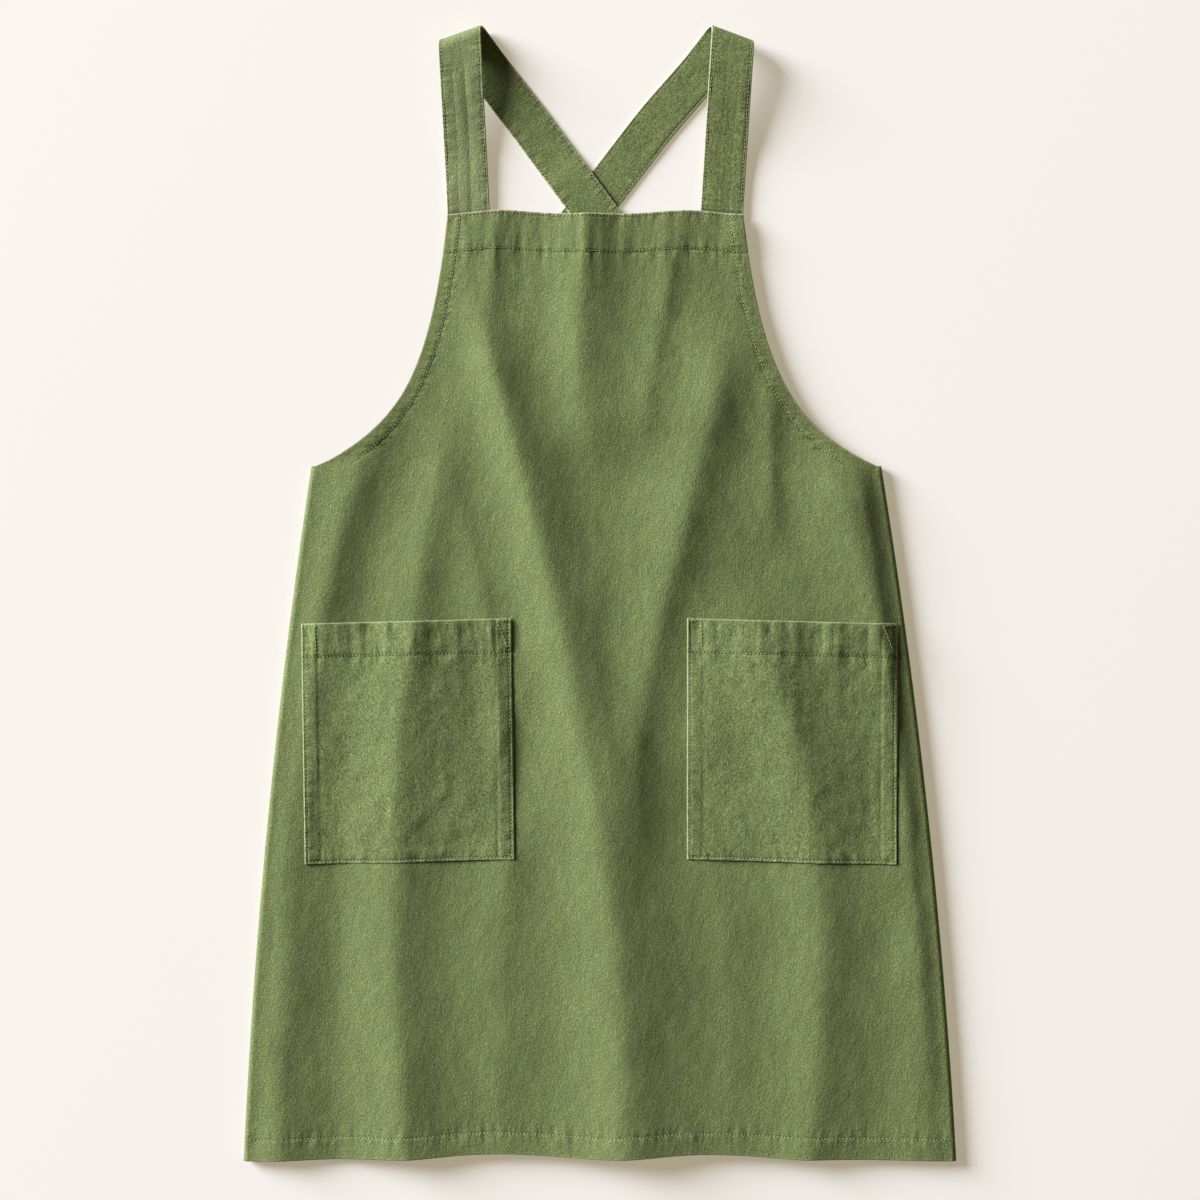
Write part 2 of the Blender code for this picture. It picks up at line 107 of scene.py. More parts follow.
# The folds, sharper than in the solids: name, start, end, fade, path, widths, heights and flanks.
# Start, end and fade are shares of the body's length, path and widths of the hem's half width, and
# heights of FOLD_HEIGHT. Flanks widen a fold left and right of its crest.
FOLDS = (
    ("main left", 0.07, 1.2, 0.1, (-0.362, -0.102, 0.059, 0.02), (0.056, 0.142), (1.09, 1.15), (1.04, 1.46)),
    ("main right", 0.09, 0.74, 0.12, (0.344, 0.248, 0.115, 0.169), (0.116, 0.055), (1.15, 0.04), (1.2, 0.84)),
    ("bib middle", -0.1, 0.3, 0.09,
     (-0.028, -0.045, -0.049, 0.049), (0.022, 0.146), (0.64, 0.82), (0.85, 1.33)),
    ("bib right", -0.04, 0.27, 0.08, (0.239, 0.198, 0.145, 0.108), (0.042, 0.071), (0.26, 0.25), (1.0, 0.73)),
    ("bib left", -0.1, 0.15, 0.06,
     (-0.276, -0.259, -0.307, -0.277), (0.039, 0.069), (0.0, 0.37), (1.07, 0.87)),
    ("left side", 0.17, 1.2, 0.08,
     (-0.561, -0.851, -0.939, -0.83), (0.071, 0.122), (0.46, 0.38), (2.4, 0.99)),
    ("left trough", 0.2, 1.2, 0.14, (-0.6, -0.69, -0.735, -0.72), (0.09, 0.11), (-0.2, -0.36), (1.15, 0.9)),
    ("left pocket", 0.16, 1.2, 0.16,
     (-0.381, -0.545, -0.565, -0.478), (0.053, 0.108), (0.25, 0.85), (1.09, 1.21)),
    ("right pocket", 0.38, 1.2, 0.12,
     (0.355, 0.597, 0.603, 0.505), (0.105, 0.078), (0.74, 0.45), (1.09, 1.04)),
    ("right armhole", 0.15, 0.38, 0.07,
     (0.481, 0.477, 0.477, 0.477), (0.019, 0.039), (0.42, 0.1), (2.27, 0.45)),
    ("right side", 0.22, 1.2, 0.1, (0.614, 0.841, 0.899, 0.832), (0.092, 0.042), (0.49, 0.0), (0.94, 1.74)),
    ("centre crease", 0.3, 0.72, 0.1,
     (0.097, -0.021, 0.029, 0.061), (0.086, 0.028), (0.11, 0.04), (1.39, 0.57)),
    ("hip crease", 0.22, 0.5, 0.08, (0.604, 0.644, 0.553, 0.53), (0.132, 0.091), (0.18, 0.0), (0.46, 2.29)),
    ("low right crease", 0.62, 1.2, 0.08,
     (0.268, 0.359, 0.358, 0.357), (0.084, 0.024), (0.17, 0.0), (0.72, 1.81)),
    ("low middle crease", 0.62, 1.2, 0.08,
     (-0.264, -0.274, -0.278, -0.19), (0.061, 0.064), (0.33, 0.0), (1.09, 1.33)),
    ("flank crease", 0.22, 0.62, 0.08,
     (-0.449, -0.363, -0.292, -0.301), (0.061, 0.039), (0.01, 0.41), (1.0, 0.92)),
    ("right flank crease", 0.24, 0.62, 0.08,
     (0.261, 0.294, 0.286, 0.319), (0.166, 0.024), (0.39, 0.42), (2.37, 2.16)),
)

# Heights that follow from the sizes above
BACK_LEVEL = SHEET / 2
SKIRT_LEVEL = BACK_LEVEL + 2 * SIDE_FOLD_RADIUS
FACING_DROP = SHEET + SEAM_GAP
BIB_LEVEL = 2 * STRAP_THICK + SEAM_GAP + BIB_ROOM + SHEET / 2 + FACING_DROP
STRAP_LEVEL = STRAP_THICK / 2
STRAP_END_LEVEL = BIB_LEVEL - FACING_DROP - SHEET / 2 - SEAM_GAP - FACET_ROOM - STRAP_THICK / 2
SIDE_INSET = SIDE_FOLD_RADIUS + SHEET / 2

# The solids' frame has its origin at the middle of the whole apron
SHIFT_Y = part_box("apron_body")[0][1] + BODY_LENGTH

# Sewing, measured on the photo
EDGE_STITCH = 0.0026
BIB_STITCH = BIB_HEM - 0.0015
HEM_STITCH = BOTTOM_HEM - 0.001
ARMHOLE_STITCH = 0.0125
POCKET_ALLOWANCE = 0.0145
BACK_SHORT = 0.0012
BODY_SEAMS = (-EDGE_STITCH, -BIB_STITCH, HEM_STITCH - BODY_LENGTH)
STRAP_SEAMS = (EDGE_STITCH - STRAP_WIDTH / 2, STRAP_WIDTH / 2 - EDGE_STITCH)
STITCH_PITCH = 0.0034
THREAD_SHAPE = (0.0025, 0.0007, 0.00005)
# The dark needle-hole capsules below paint the shade in the needle holes
HOLE_SHAPE = (0.0021, 0.001, -0.0002)
POCKET_HOLE_SHAPE = (0.00135, 0.0007, -0.0002)
CAPSULE_RINGS = ((-0.5, 0.35), (-0.34, 1.0), (0.34, 1.0), (0.5, 0.35))
EDGE_ROUND = 0.0007
EDGE_THIN = 0.35

# Gathers beside the seams: depth, pitch and reach
PUCKERS = {
    "bib seam": (0.0015, 0.014, 0.024),
    "bib hem": (0.0029, 0.025, 0.032),
    "bottom seam": (0.00075, 0.0095, 0.015),
    "armhole": (0.0005, 0.0075, 0.011),
    "under pocket": (0.0009, 0.009, 0.014),
    "mouth": (0.0012, 0.0085, 0.034),
    "broad mouth": (0.0019, 0.019, 0.04),
    "pocket foot": (0.00085, 0.0075, 0.018),
    "pocket edge": (0.00035, 0.009, 0.012),
}

# Colours, linear
CANVAS = (0.1765, 0.2095, 0.076)
COOL_CANVAS = (0.1675, 0.2105, 0.082)
# Pale canvas that the worn edges and the painted highlight on the left strap blend towards
PALE_CANVAS = (0.58, 0.575, 0.41)
SHEEN_TINT = (0.75, 0.8, 0.55)
THREAD = (0.34, 0.39, 0.2)
# Painted shade in the needle holes
HOLE_SHADE = (0.042, 0.052, 0.019)
FLOOR = (0.56, 0.565, 0.61)
FLOOR_GLOW = (0.37, 0.32, 0.235)

# The canvas's noises: grain length and width in metres, angle in degrees, detail and roughness
NOISES = {
    "broad": (0.11, 0.07, 80.0, 2.0),
    "patch": (0.014, 0.009, 75.0, 3.0),
    "fuzz": (0.0046, 0.0019, 90.0, 2.0, 0.75),
    "cross": (0.004, 0.0019, 0.0, 2.0, 0.75),
    "grain": (0.0015, 0.0013, 30.0, 2.0, 0.85),
    "fleck": (0.0034, 0.0013, 52.0, 1.0),
    "hue": (0.04, 0.026, 70.0, 3.0, 0.65),
}
SHADES = {
    "broad": (0.94, 1.06), "patch": (0.93, 1.07), "fuzz": (0.94, 1.06), "cross": (0.94, 1.06),
    "grain": (0.42, 1.58),
}
FLECKS = (-1.1, 0.42)
# Spread, strength and tint of the paleness from wear and from the painted highlight
PALE_SPREAD = (1.2, 2.2)
PALE_GAIN = 0.4
PALE_TINT = 0.5
# How much the seam mark darkens the cloth: painted shade in the stitched grooves
SEAM_PAINTED_SHADE = 0.34
BUMPS = {"fuzz": 0.42, "cross": 0.36, "patch": 1.0, "grain": 0.75}
BUMP_DEPTH = 0.001
WEAVE_SCALE = 560.0
WEAVE_BUMP = 0.06

# Gathers in the bump: grain length and width, reach from the seam, and strength
GATHERS = {
    "down": (0.0095, 0.034, 0.009, 3.4),
    "across": (0.022, 0.006, 0.0075, 2.2),
    "side": (0.018, 0.006, 0.0065, 2.8),
}

# Camera and floor, in metres
CAMERA_HEIGHT = 2.2
CAMERA_Y = -0.359
FRAME_WIDTH = 1.116
MEAN_LEVEL = 0.009
FLOOR_REACH = 14.0
FLOOR_LEVEL = -0.0003


# Small helpers

def smooth(value):
    value = np.clip(value, 0.0, 1.0)
    return value * value * (3.0 - 2.0 * value)


def mix(first, second, share):
    return first + (second - first) * share


def bell(value, place, reach):
    """1 at a place and 0 away from it."""
    return np.exp(-(((value - place) / reach) ** 2))


def ridge(value):
    """A fold's profile, with a narrower crest than a bell's."""
    return np.exp(0.045 - (value**2 + 0.016) ** 0.75)


def unit(vectors):
    return vectors / np.linalg.norm(vectors, axis=-1, keepdims=True)


def run_along(points):
    """Length along each line of points, from its first one."""
    steps = np.linalg.norm(np.diff(points, axis=-2), axis=-1)
    return np.concatenate([np.zeros((*steps.shape[:-1], 1)), np.cumsum(steps, axis=-1)], axis=-1)


def through_four(values, share):
    """A smooth line through four values, at shares 0, 1/3, 2/3 and 1."""
    a, b, c, d = values
    t = 3.0 * share
    return (
        -a * (t - 1) * (t - 2) * (t - 3) / 6
        + b * t * (t - 2) * (t - 3) / 2
        - c * t * (t - 1) * (t - 3) / 2
        + d * t * (t - 1) * (t - 2) / 6
    )


def wobble(along, length, seed):
    """Smooth noise on a line, from -1 to 1."""
    table = np.random.default_rng(seed).uniform(-1.0, 1.0, 1024)
    place = along / length + 311.7
    cell = np.floor(place).astype(int)
    return mix(table[cell % 1024], table[(cell + 1) % 1024], smooth(place - cell))


def mottle(x, y, length, seed):
    """Smooth noise on a plane, from -1 to 1."""
    size = 128
    table = np.random.default_rng(seed).uniform(-1.0, 1.0, (size, size))
    px = x / length + 57.3
    py = y / length + 83.9
    cx = np.floor(px).astype(int)
    cy = np.floor(py).astype(int)
    fx = smooth(px - cx)
    fy = smooth(py - cy)
    low = mix(table[cx % size, cy % size], table[(cx + 1) % size, cy % size], fx)
    high = mix(table[cx % size, (cy + 1) % size], table[(cx + 1) % size, (cy + 1) % size], fx)
    return mix(low, high, fy)


def graded(start, end, coarse, lines, fine=0.0008, reach=0.004):
    """Places from start to end, coarse apart, and fine apart near the named lines."""
    run = np.linspace(start, end, 20001)
    step = coarse
    for line in lines:
        step = np.minimum(step, fine + (coarse - fine) * smooth((np.abs(run - line) - reach / 2) / reach))
    count = np.concatenate([[0.0], np.cumsum(abs(end - start) / 20000 / step[1:])])
    return np.interp(np.linspace(0.0, count[-1], int(round(count[-1])) + 1), count, run)


# Outline

def armhole_curve():
    end_half = WAIST_WIDTH / 2 - SIDE_INSET
    start = np.array([BIB_WIDTH / 2, 0.0])
    end = np.array([end_half, -ARMHOLE_DEPTH])
    top_pull = ARMHOLE_TOP_PULL * ARMHOLE_DEPTH
    low_pull = ARMHOLE_LOW_PULL * (end_half - BIB_WIDTH / 2)
    near_start = start + top_pull * np.array([math.sin(ARMHOLE_TOP_ANGLE), -math.cos(ARMHOLE_TOP_ANGLE)])
    near_end = end + low_pull * np.array([-math.cos(ARMHOLE_LOW_ANGLE), math.sin(ARMHOLE_LOW_ANGLE)])
    t = np.linspace(0.0, 1.0, 400)[:, None]
    rest = 1.0 - t
    return rest**3 * start + 3 * rest**2 * t * near_start + 3 * rest * t**2 * near_end + t**3 * end


ARMHOLE = armhole_curve()
ARMHOLE_SLOPE = -np.gradient(ARMHOLE[:, 0]) / np.gradient(ARMHOLE[:, 1])
ARMHOLE_STRETCH = np.sqrt(1.0 + ARMHOLE_SLOPE**2)


def centre_x(y):
    return BIB_SHIFT * (1.0 + y / BODY_LENGTH)


def by_armhole(y, armhole, skirt):
    """Values along the armholes' curve, and others below it."""
    return np.where(y > -ARMHOLE_DEPTH, np.interp(-y, -ARMHOLE[:, 1], armhole), skirt)


def front_edge_x(side, y):
    share = (-y - ARMHOLE_DEPTH) / (BODY_LENGTH - ARMHOLE_DEPTH)
    skirt = mix(WAIST_WIDTH / 2, HEM_WIDTH / 2, share) + SIDE_BOW * 4.0 * share * (1.0 - share)
    return centre_x(y) + side * by_armhole(y, ARMHOLE[:, 0], skirt - SIDE_INSET)


def edge_stretch(y):
    """Sideways run for each unit of distance from the edge, which is slanted at the armholes."""
    skirt = mix(ARMHOLE_STRETCH[-1], 1.0, smooth((-y - ARMHOLE_DEPTH) / 0.07))
    return by_armhole(y, ARMHOLE_STRETCH, skirt)


def edge_lift(across, y):
    share = -y / BODY_LENGTH
    reach = np.minimum(np.abs(across), 1.0)
    ripple = BIB_TOP_RIPPLE * np.sin(np.pi * reach**RIPPLE_POWER) ** 2
    wave = HEM_WAVE * np.sin(np.pi * np.minimum(reach / HEM_WAVE_REACH, 1.0)) ** 2
    return ripple * (1.0 - share) + (HEM_RISE * (1.0 - reach**2) + wave) * share


# Folds and relief of the front

def front_level(x, y):
    u = 2.0 * x / HEM_WIDTH
    v = -y / BODY_LENGTH
    folds = 0.0
    for _, start, end, fade, path, widths, heights, flanks in FOLDS:
        along = (v - start) / (end - start)
        inside = (along >= 0.0) & (along <= 1.0)
        crest = through_four(path, along)
        width = mix(*widths, along) * np.where(u < crest, *flanks)
        height = mix(*heights, along) * FOLD_HEIGHT
        shown = smooth((v - start) / fade) * smooth((end - v) / fade)
        folds += np.where(inside, height * shown * ridge((u - crest) / np.maximum(width, NARROWEST)), 0.0)
    side = np.where(x > centre_x(y), 1.0, -1.0)
    room = np.where(side > 0, front_edge_x(1, y) - x, x - front_edge_x(-1, y))
    upper = smooth((y + ARMHOLE_DEPTH) / SIDE_FADE[1])
    folds = folds * mix(smooth(room / np.where(side > 0, SIDE_FADE[1], SIDE_FADE[0])), 1.0, upper)
    return mix(BIB_LEVEL, SKIRT_LEVEL, smooth(-y / ARMHOLE_DEPTH)) + folds


def pocket_shares(side, x, y):
    """Where a place lies on a pocket: across from its outer side and down from its mouth."""
    tilt = -side * POCKET_TILT
    dx = x - side * POCKET_SPACING / 2
    dy = y + POCKET_DROP + POCKET_HEIGHT / 2
    lean = POCKET_LEAN[side] * math.sin(tilt)
    share = math.cos(tilt) ** 2 + lean * math.sin(tilt)
    flat_x = side * (dx * math.cos(tilt) + dy * lean) / share
    flat_y = (-dx * math.sin(tilt) + dy * math.cos(tilt)) / share
    return 0.5 - flat_x / POCKET_WIDTH, 0.5 - flat_y / POCKET_HEIGHT


def pocket_cover(x, y):
    """1 under the pockets and 0 away from them, so that relief stays clear of them."""
    cover = 0.0
    for side in (-1, 1):
        across, down = pocket_shares(side, x, y)
        inside_x = np.minimum(across, 1.0 - across) * POCKET_WIDTH
        inside_y = np.minimum(down, 1.0 - down) * POCKET_HEIGHT
        cover = np.maximum(cover, smooth(1.0 + np.minimum(inside_x, inside_y) / 0.006))
    return cover


def pucker(along, away, seed, kind):
    """Short gathers that run off a seam, by metres along it and away from it."""
    depth, pitch, reach = PUCKERS[kind]
    bunch = 0.75 * wobble(along, pitch, seed) + 0.45 * wobble(along, 0.45 * pitch, seed + 1)
    strength = 0.65 + 0.35 * wobble(along, 0.05, seed + 2)
    return depth * bunch * strength * np.exp(-((np.abs(away) / reach) ** 1.4))


def rope(along, away, seed, depth=0.00042):
    """A stitched line: a narrow groove with slanted bunches of cloth on both sides."""
    groove = -depth * bell(away, 0.0, 0.001)
    bunch = 0.5 * depth * wobble(along + away, 0.0042, seed) * bell(np.abs(away), 0.0016, 0.0016)
    return groove + bunch


def edge_roll(away, depth, reach=0.0008):
    """How far a free edge rolls down."""
    return -depth * (1.0 - np.clip(away / reach, 0.0, 1.0)) ** 2


def edge_form(away, depth=0.00035):
    """A folded edge: it rolls down at the edge, and its stitches sink a groove."""
    crest = 0.55 * depth * bell(away, 0.0011, 0.0008)
    groove = depth * bell(away, EDGE_STITCH, 0.0008)
    return edge_roll(away, 1.2 * depth, EDGE_ROUND) + crest - groove


def front_relief(x, row):
    """Height that seams, gathers and washed-in wrinkles add to the front."""
    left = (x - front_edge_x(-1, row)) / edge_stretch(row)
    right = (front_edge_x(1, row) - x) / edge_stretch(row)
    side_room = np.minimum(left, right)
    top = -row
    hem = BODY_LENGTH + row
    above = smooth((row + ARMHOLE_DEPTH) / 0.006)

    broad = 0.00075 * mottle(x, row * 0.6, 0.034, 11)
    broad += 0.00042 * mottle(x + row, (x - row) * 0.5, 0.017, 12)
    small = 0.00018 * mottle(x + row, (x - row) * 0.6, 0.009, 13)
    quiet = smooth(top / 0.03) * smooth(np.minimum(hem / 0.02, side_room / 0.012))
    relief = (broad + small) * (0.25 + 0.75 * quiet)

    relief += 0.0004 * smooth((BIB_HEM - top) / 0.002)
    relief += rope(x, top - BIB_STITCH, 21) + edge_form(top)
    relief += pucker(x, top - BIB_STITCH, 22, "bib seam")
    relief += pucker(x, top - BIB_HEM / 2, 25, "bib hem")

    relief += 0.0004 * smooth((BOTTOM_HEM - hem) / 0.002)
    relief += rope(x, hem - HEM_STITCH, 31) + edge_roll(hem, 0.0003)
    relief += pucker(x, hem - HEM_STITCH, 32, "bottom seam")

    for away, seed in ((left, 41), (right, 51)):
        facing = 0.00035 * smooth((ARMHOLE_HEM - away) / 0.0015) + rope(row, away - ARMHOLE_STITCH, seed)
        facing += pucker(row, away - ARMHOLE_STITCH, seed + 1, "armhole")
        relief += above * (facing + edge_roll(away, 0.0004))

    for side in (-1, 1):
        across, down = pocket_shares(side, x, row)
        below = (down - 1.0) * POCKET_HEIGHT
        beside = np.minimum(across, 1.0 - across) * POCKET_WIDTH
        reach = smooth(below / 0.002) * smooth(beside / 0.01)
        relief += reach * pucker(x, below, 61 + side, "under pocket")
    fade = mix(smooth(side_room / 0.012), 1.0, above)
    return relief * fade * (1.0 - 0.92 * pocket_cover(x, row))


def front_surface(x, row):
    """Points of the middle of the front's cloth; row is a height measured at the side."""
    x, row = np.broadcast_arrays(x, row)
    left = front_edge_x(-1, row)
    right = front_edge_x(1, row)
    y = row + edge_lift(2.0 * (x - left) / (right - left) - 1.0, row)
    z = front_level(x, y) + front_relief(x, row)
    return np.stack([x, y, z], axis=-1)


# Meshes

def vertex_normals(points, faces):
    a, b, c, d = points[faces].swapaxes(0, 1)
    across = np.cross(c - a, d - b)
    normals = np.zeros_like(points)
    for corner in range(4):
        np.add.at(normals, faces[:, corner], across)
    return normals / np.maximum(np.linalg.norm(normals, axis=1, keepdims=True), 1e-12)


def grid_faces(mask):
    index = np.full(mask.shape, -1)
    index[mask] = np.arange(mask.sum())
    corners = np.stack([index[:-1, :-1], index[1:, :-1], index[1:, 1:], index[:-1, 1:]], axis=-1)
    return corners[np.all(corners >= 0, axis=-1)]


def rim_faces(faces, count):
    edges = np.concatenate([faces[:, [k, (k + 1) % 4]] for k in range(4)])
    forward = edges[:, 0] * count + edges[:, 1]
    backward = edges[:, 1] * count + edges[:, 0]
    start, end = edges[~np.isin(forward, backward)].T
    return np.stack([end, start, start + count, end + count], axis=1)


def add_object(name, data, place=(0.0, 0.0, 0.0)):
    thing = bpy.data.objects.new(name, data)
    thing.location = place
    bpy.context.scene.collection.objects.link(thing)
    return thing


def new_piece(name, points, faces, marks, material):
    mesh = bpy.data.meshes.new(name)
    mesh.from_pydata(points.tolist(), [], faces.tolist())
    for key, values in marks.items():
        kind, field = ("FLOAT_VECTOR", "vector") if values.ndim == 2 else ("FLOAT", "value")
        layer = mesh.attributes.new(key, kind, "POINT")
        layer.data.foreach_set(field, values.astype(np.float32).ravel())
    mesh.shade_smooth()
    mesh.materials.append(material)
    piece = add_object(name, mesh)
    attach(piece, "root")
    return piece


def cloth_piece(name, node, slot, material, points, half, cloth, wear_and_painted_light=0.0, seam=0.0, mask=None, edge=None):
    """A sheet of cloth with real thickness, from a grid of points through its middle."""
    if mask is None:
        mask = np.ones(points.shape[:2], bool)
    middle = points[mask] + np.array([0.0, SHIFT_Y, 0.0])
    faces = grid_faces(mask)
    reach = vertex_normals(middle, faces) * np.broadcast_to(half, mask.shape)[mask][:, None]
    count = len(middle)
    solid = np.concatenate([faces, faces[:, ::-1] + count, rim_faces(faces, count)])
    wear_and_painted_light, seam = (np.broadcast_to(part, mask.shape) for part in (wear_and_painted_light, seam))
    marks = {"cloth": cloth, "wear_and_painted_light": wear_and_painted_light, "seam": seam}
    if edge is not None:
        marks["edge"] = edge
    marks = {key: np.concatenate([values[mask]] * 2) for key, values in marks.items()}
    piece = new_piece(name, np.concatenate([middle + reach, middle - reach]), solid, marks, material)
    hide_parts(node)
    a, b, c, d = middle[faces].swapaxes(0, 1)
    return piece, float(0.5 * np.linalg.norm(np.cross(c - a, d - b), axis=1).sum())


def flat_cloth(across, along, twist=0.0):
    return np.stack([across, along, np.full(across.shape, twist)], axis=-1)


# Materials

class Nodes:
    """A short way to make a material, to add nodes to it and to join them."""

    def __init__(self, name):
        self.material = bpy.data.materials.new(name)
        self.material.use_nodes = True
        self.tree = self.material.node_tree

    def put(self, socket, value):
        if isinstance(value, bpy.types.NodeSocket):
            self.tree.links.new(value, socket)
        else:
            socket.default_value = value

    def fill(self, node, inputs):
        for key, value in inputs.items():
            self.put(node.inputs[key.replace("_", " ")], value)

    def surface(self, **inputs):
        self.fill(self.tree.nodes["Principled BSDF"], inputs)

    def add(self, kind, settings=(), **inputs):
        node = self.tree.nodes.new(kind)
        for key, value in settings:
            setattr(node, key, value)
        self.fill(node, inputs)
        return node

    def mark(self, name, output="Fac"):
        return self.add("ShaderNodeAttribute", [("attribute_name", name)]).outputs[output]

    def math(self, operation, first, second):
        node = self.add("ShaderNodeMath", [("operation", operation)])
        self.put(node.inputs[0], first)
        self.put(node.inputs[1], second)
        return node.outputs[0]

    def times(self, first, second):
        return self.math("MULTIPLY", first, second)

    def chain(self, operation, values):
        result = values[0]
        for value in values[1:]:
            result = self.math(operation, result, value)
        return result

    def streaks(self, cloth, length, width, angle=0.0, detail=2.0, rough=0.55):
        """Noise whose grains are length by width in metres, turned by an angle."""
        place = self.add("ShaderNodeMapping", [("vector_type", "TEXTURE")], Vector=cloth,
                         Rotation=(0.0, 0.0, math.radians(angle)), Scale=(length, width, 1.0))
        noise = self.add("ShaderNodeTexNoise", Vector=place.outputs[0], Scale=1.0, Detail=detail,
                         Roughness=rough)
        return noise.outputs["Fac"]

    def tone(self, value, low, high):
        """A noise's usual span, spread from low to high."""
        ends = {"From_Min": 0.3, "From_Max": 0.7, "To_Min": low, "To_Max": high}
        return self.add("ShaderNodeMapRange", Value=value, **ends).outputs[0]

    def blend(self, share, first, second):
        node = self.add("ShaderNodeMix", [("data_type", "RGBA")], Factor=share, A=first, B=second)
        return node.outputs["Result"]

    def scaled(self, colour, amount):
        node = self.add("ShaderNodeVectorMath", [("operation", "SCALE")], Scale=amount)
        self.put(node.inputs[0], colour)
        return node.outputs[0]

    def bump(self, height, strength, depth):
        return self.add("ShaderNodeBump", Height=height, Strength=strength, Distance=depth).outputs[0]

    def near(self, value, place, reach):
        """1 at a place on a line and 0 away from it."""
        away = self.math("DIVIDE", self.math("SUBTRACT", value, place), reach)
        return self.math("POWER", math.exp(-1.0), self.times(away, away))

    def gathers(self, cloth, places, value, length, width, reach, strength):
        """Height of short gathers beside seams that lie at the given places."""
        grains = self.math("SUBTRACT", self.streaks(cloth, length, width, 0.0, 1.0), 0.5)
        envelope = self.chain("ADD", [self.near(value, place, reach) for place in places])
        return self.times(self.times(grains, envelope), strength)


def canvas_material(name, tone=1.0, across=(), down=(), side=()):
    """Washed canvas with seams at places across it, down it and in from its sides."""
    nodes = Nodes(name)
    cloth = nodes.mark("cloth", "Vector")
    split = nodes.add("ShaderNodeSeparateXYZ", Vector=cloth)
    noise = {key: nodes.streaks(cloth, *values) for key, values in NOISES.items()}

    shade = nodes.chain("MULTIPLY", [nodes.tone(noise[key], *ends) for key, ends in SHADES.items()])
    shade = nodes.math("ADD", shade, nodes.math("MAXIMUM", nodes.tone(noise["fleck"], *FLECKS), 0.0))
    # Paleness from the wear mark: real wear at the edges, and a painted highlight on the left strap's front
    worn_and_painted_light = nodes.times(nodes.mark("wear_and_painted_light"), nodes.tone(nodes.times(noise["patch"], noise["cross"]), *PALE_SPREAD))
    shade = nodes.math("ADD", nodes.times(shade, tone), nodes.times(worn_and_painted_light, PALE_GAIN))
    # Painted shade in the stitched grooves, from the seam mark
    seam = nodes.math("SUBTRACT", 1.0, nodes.times(nodes.mark("seam"), SEAM_PAINTED_SHADE))
    plain = nodes.blend(nodes.tone(noise["hue"], 0.0, 1.0), (*CANVAS, 1.0), (*COOL_CANVAS, 1.0))
    plain = nodes.scaled(plain, nodes.times(shade, seam))
    colour = nodes.blend(nodes.times(worn_and_painted_light, PALE_TINT), plain, (*PALE_CANVAS, 1.0))

    weave = [nodes.add("ShaderNodeTexWave", [("bands_direction", way)], Vector=cloth, Scale=WEAVE_SCALE)
             for way in ("X", "Y")]
    heights = [nodes.times(nodes.math("ADD", *(node.outputs["Fac"] for node in weave)), WEAVE_BUMP)]
    heights += [nodes.times(noise[key], share) for key, share in BUMPS.items()]
    if down:
        heights.append(nodes.gathers(cloth, down, split.outputs["Y"], *GATHERS["down"]))
    if across:
        heights.append(nodes.gathers(cloth, across, split.outputs["X"], *GATHERS["across"]))
    if side:
        heights.append(nodes.gathers(cloth, side, nodes.mark("edge"), *GATHERS["side"]))
    bump = nodes.bump(nodes.chain("ADD", heights), 1.0, BUMP_DEPTH)
    nodes.surface(Base_Color=colour, Normal=bump, Roughness=nodes.tone(noise["patch"], 0.84, 0.96),
                  Specular_IOR_Level=0.15, Sheen_Weight=0.1, Sheen_Roughness=0.6,
                  Sheen_Tint=(*SHEEN_TINT, 1.0))
    return nodes.material


def thread_material(name, tint, low, high):
    """Thread of one colour, or the painted shade of needle holes, whose shade runs from low to high along its
    twist.
    """
    nodes = Nodes(name)
    place = nodes.add("ShaderNodeTexCoord").outputs["Object"]
    twist = nodes.add("ShaderNodeTexNoise", Vector=place, Scale=1500.0).outputs["Fac"]
    colour = nodes.scaled(tint, nodes.tone(twist, low, high))
    nodes.surface(Base_Color=colour, Normal=nodes.bump(twist, 0.4, 0.0002), Roughness=0.8,
                  Specular_IOR_Level=0.15)
    return nodes.material


# Body

EDGE_PLACES = np.array([0, 0.25, 0.7, 1.4, 2.4, 4.0, 6.2, 8.4,
                        10.2, 11.4, 12.1, 12.6, 13.2, 14.0, 15.5, 18.0]) / 1000
MIDDLE_COLUMNS = 158
FOLD_STEPS = 12
BACK_STEPS = 20


def front_columns(row):
    """x of the front's columns at each row."""
    row = row[:, None]
    reach = EDGE_PLACES * edge_stretch(row)
    left = front_edge_x(-1, row) + reach
    right = front_edge_x(1, row) - reach[:, ::-1]
    shares = np.linspace(0.0, 1.0, MIDDLE_COLUMNS + 1)[1:-1]
    middle = mix(left[:, -1:], right[:, :1], shares)
    return np.concatenate([left, middle, right], axis=1)


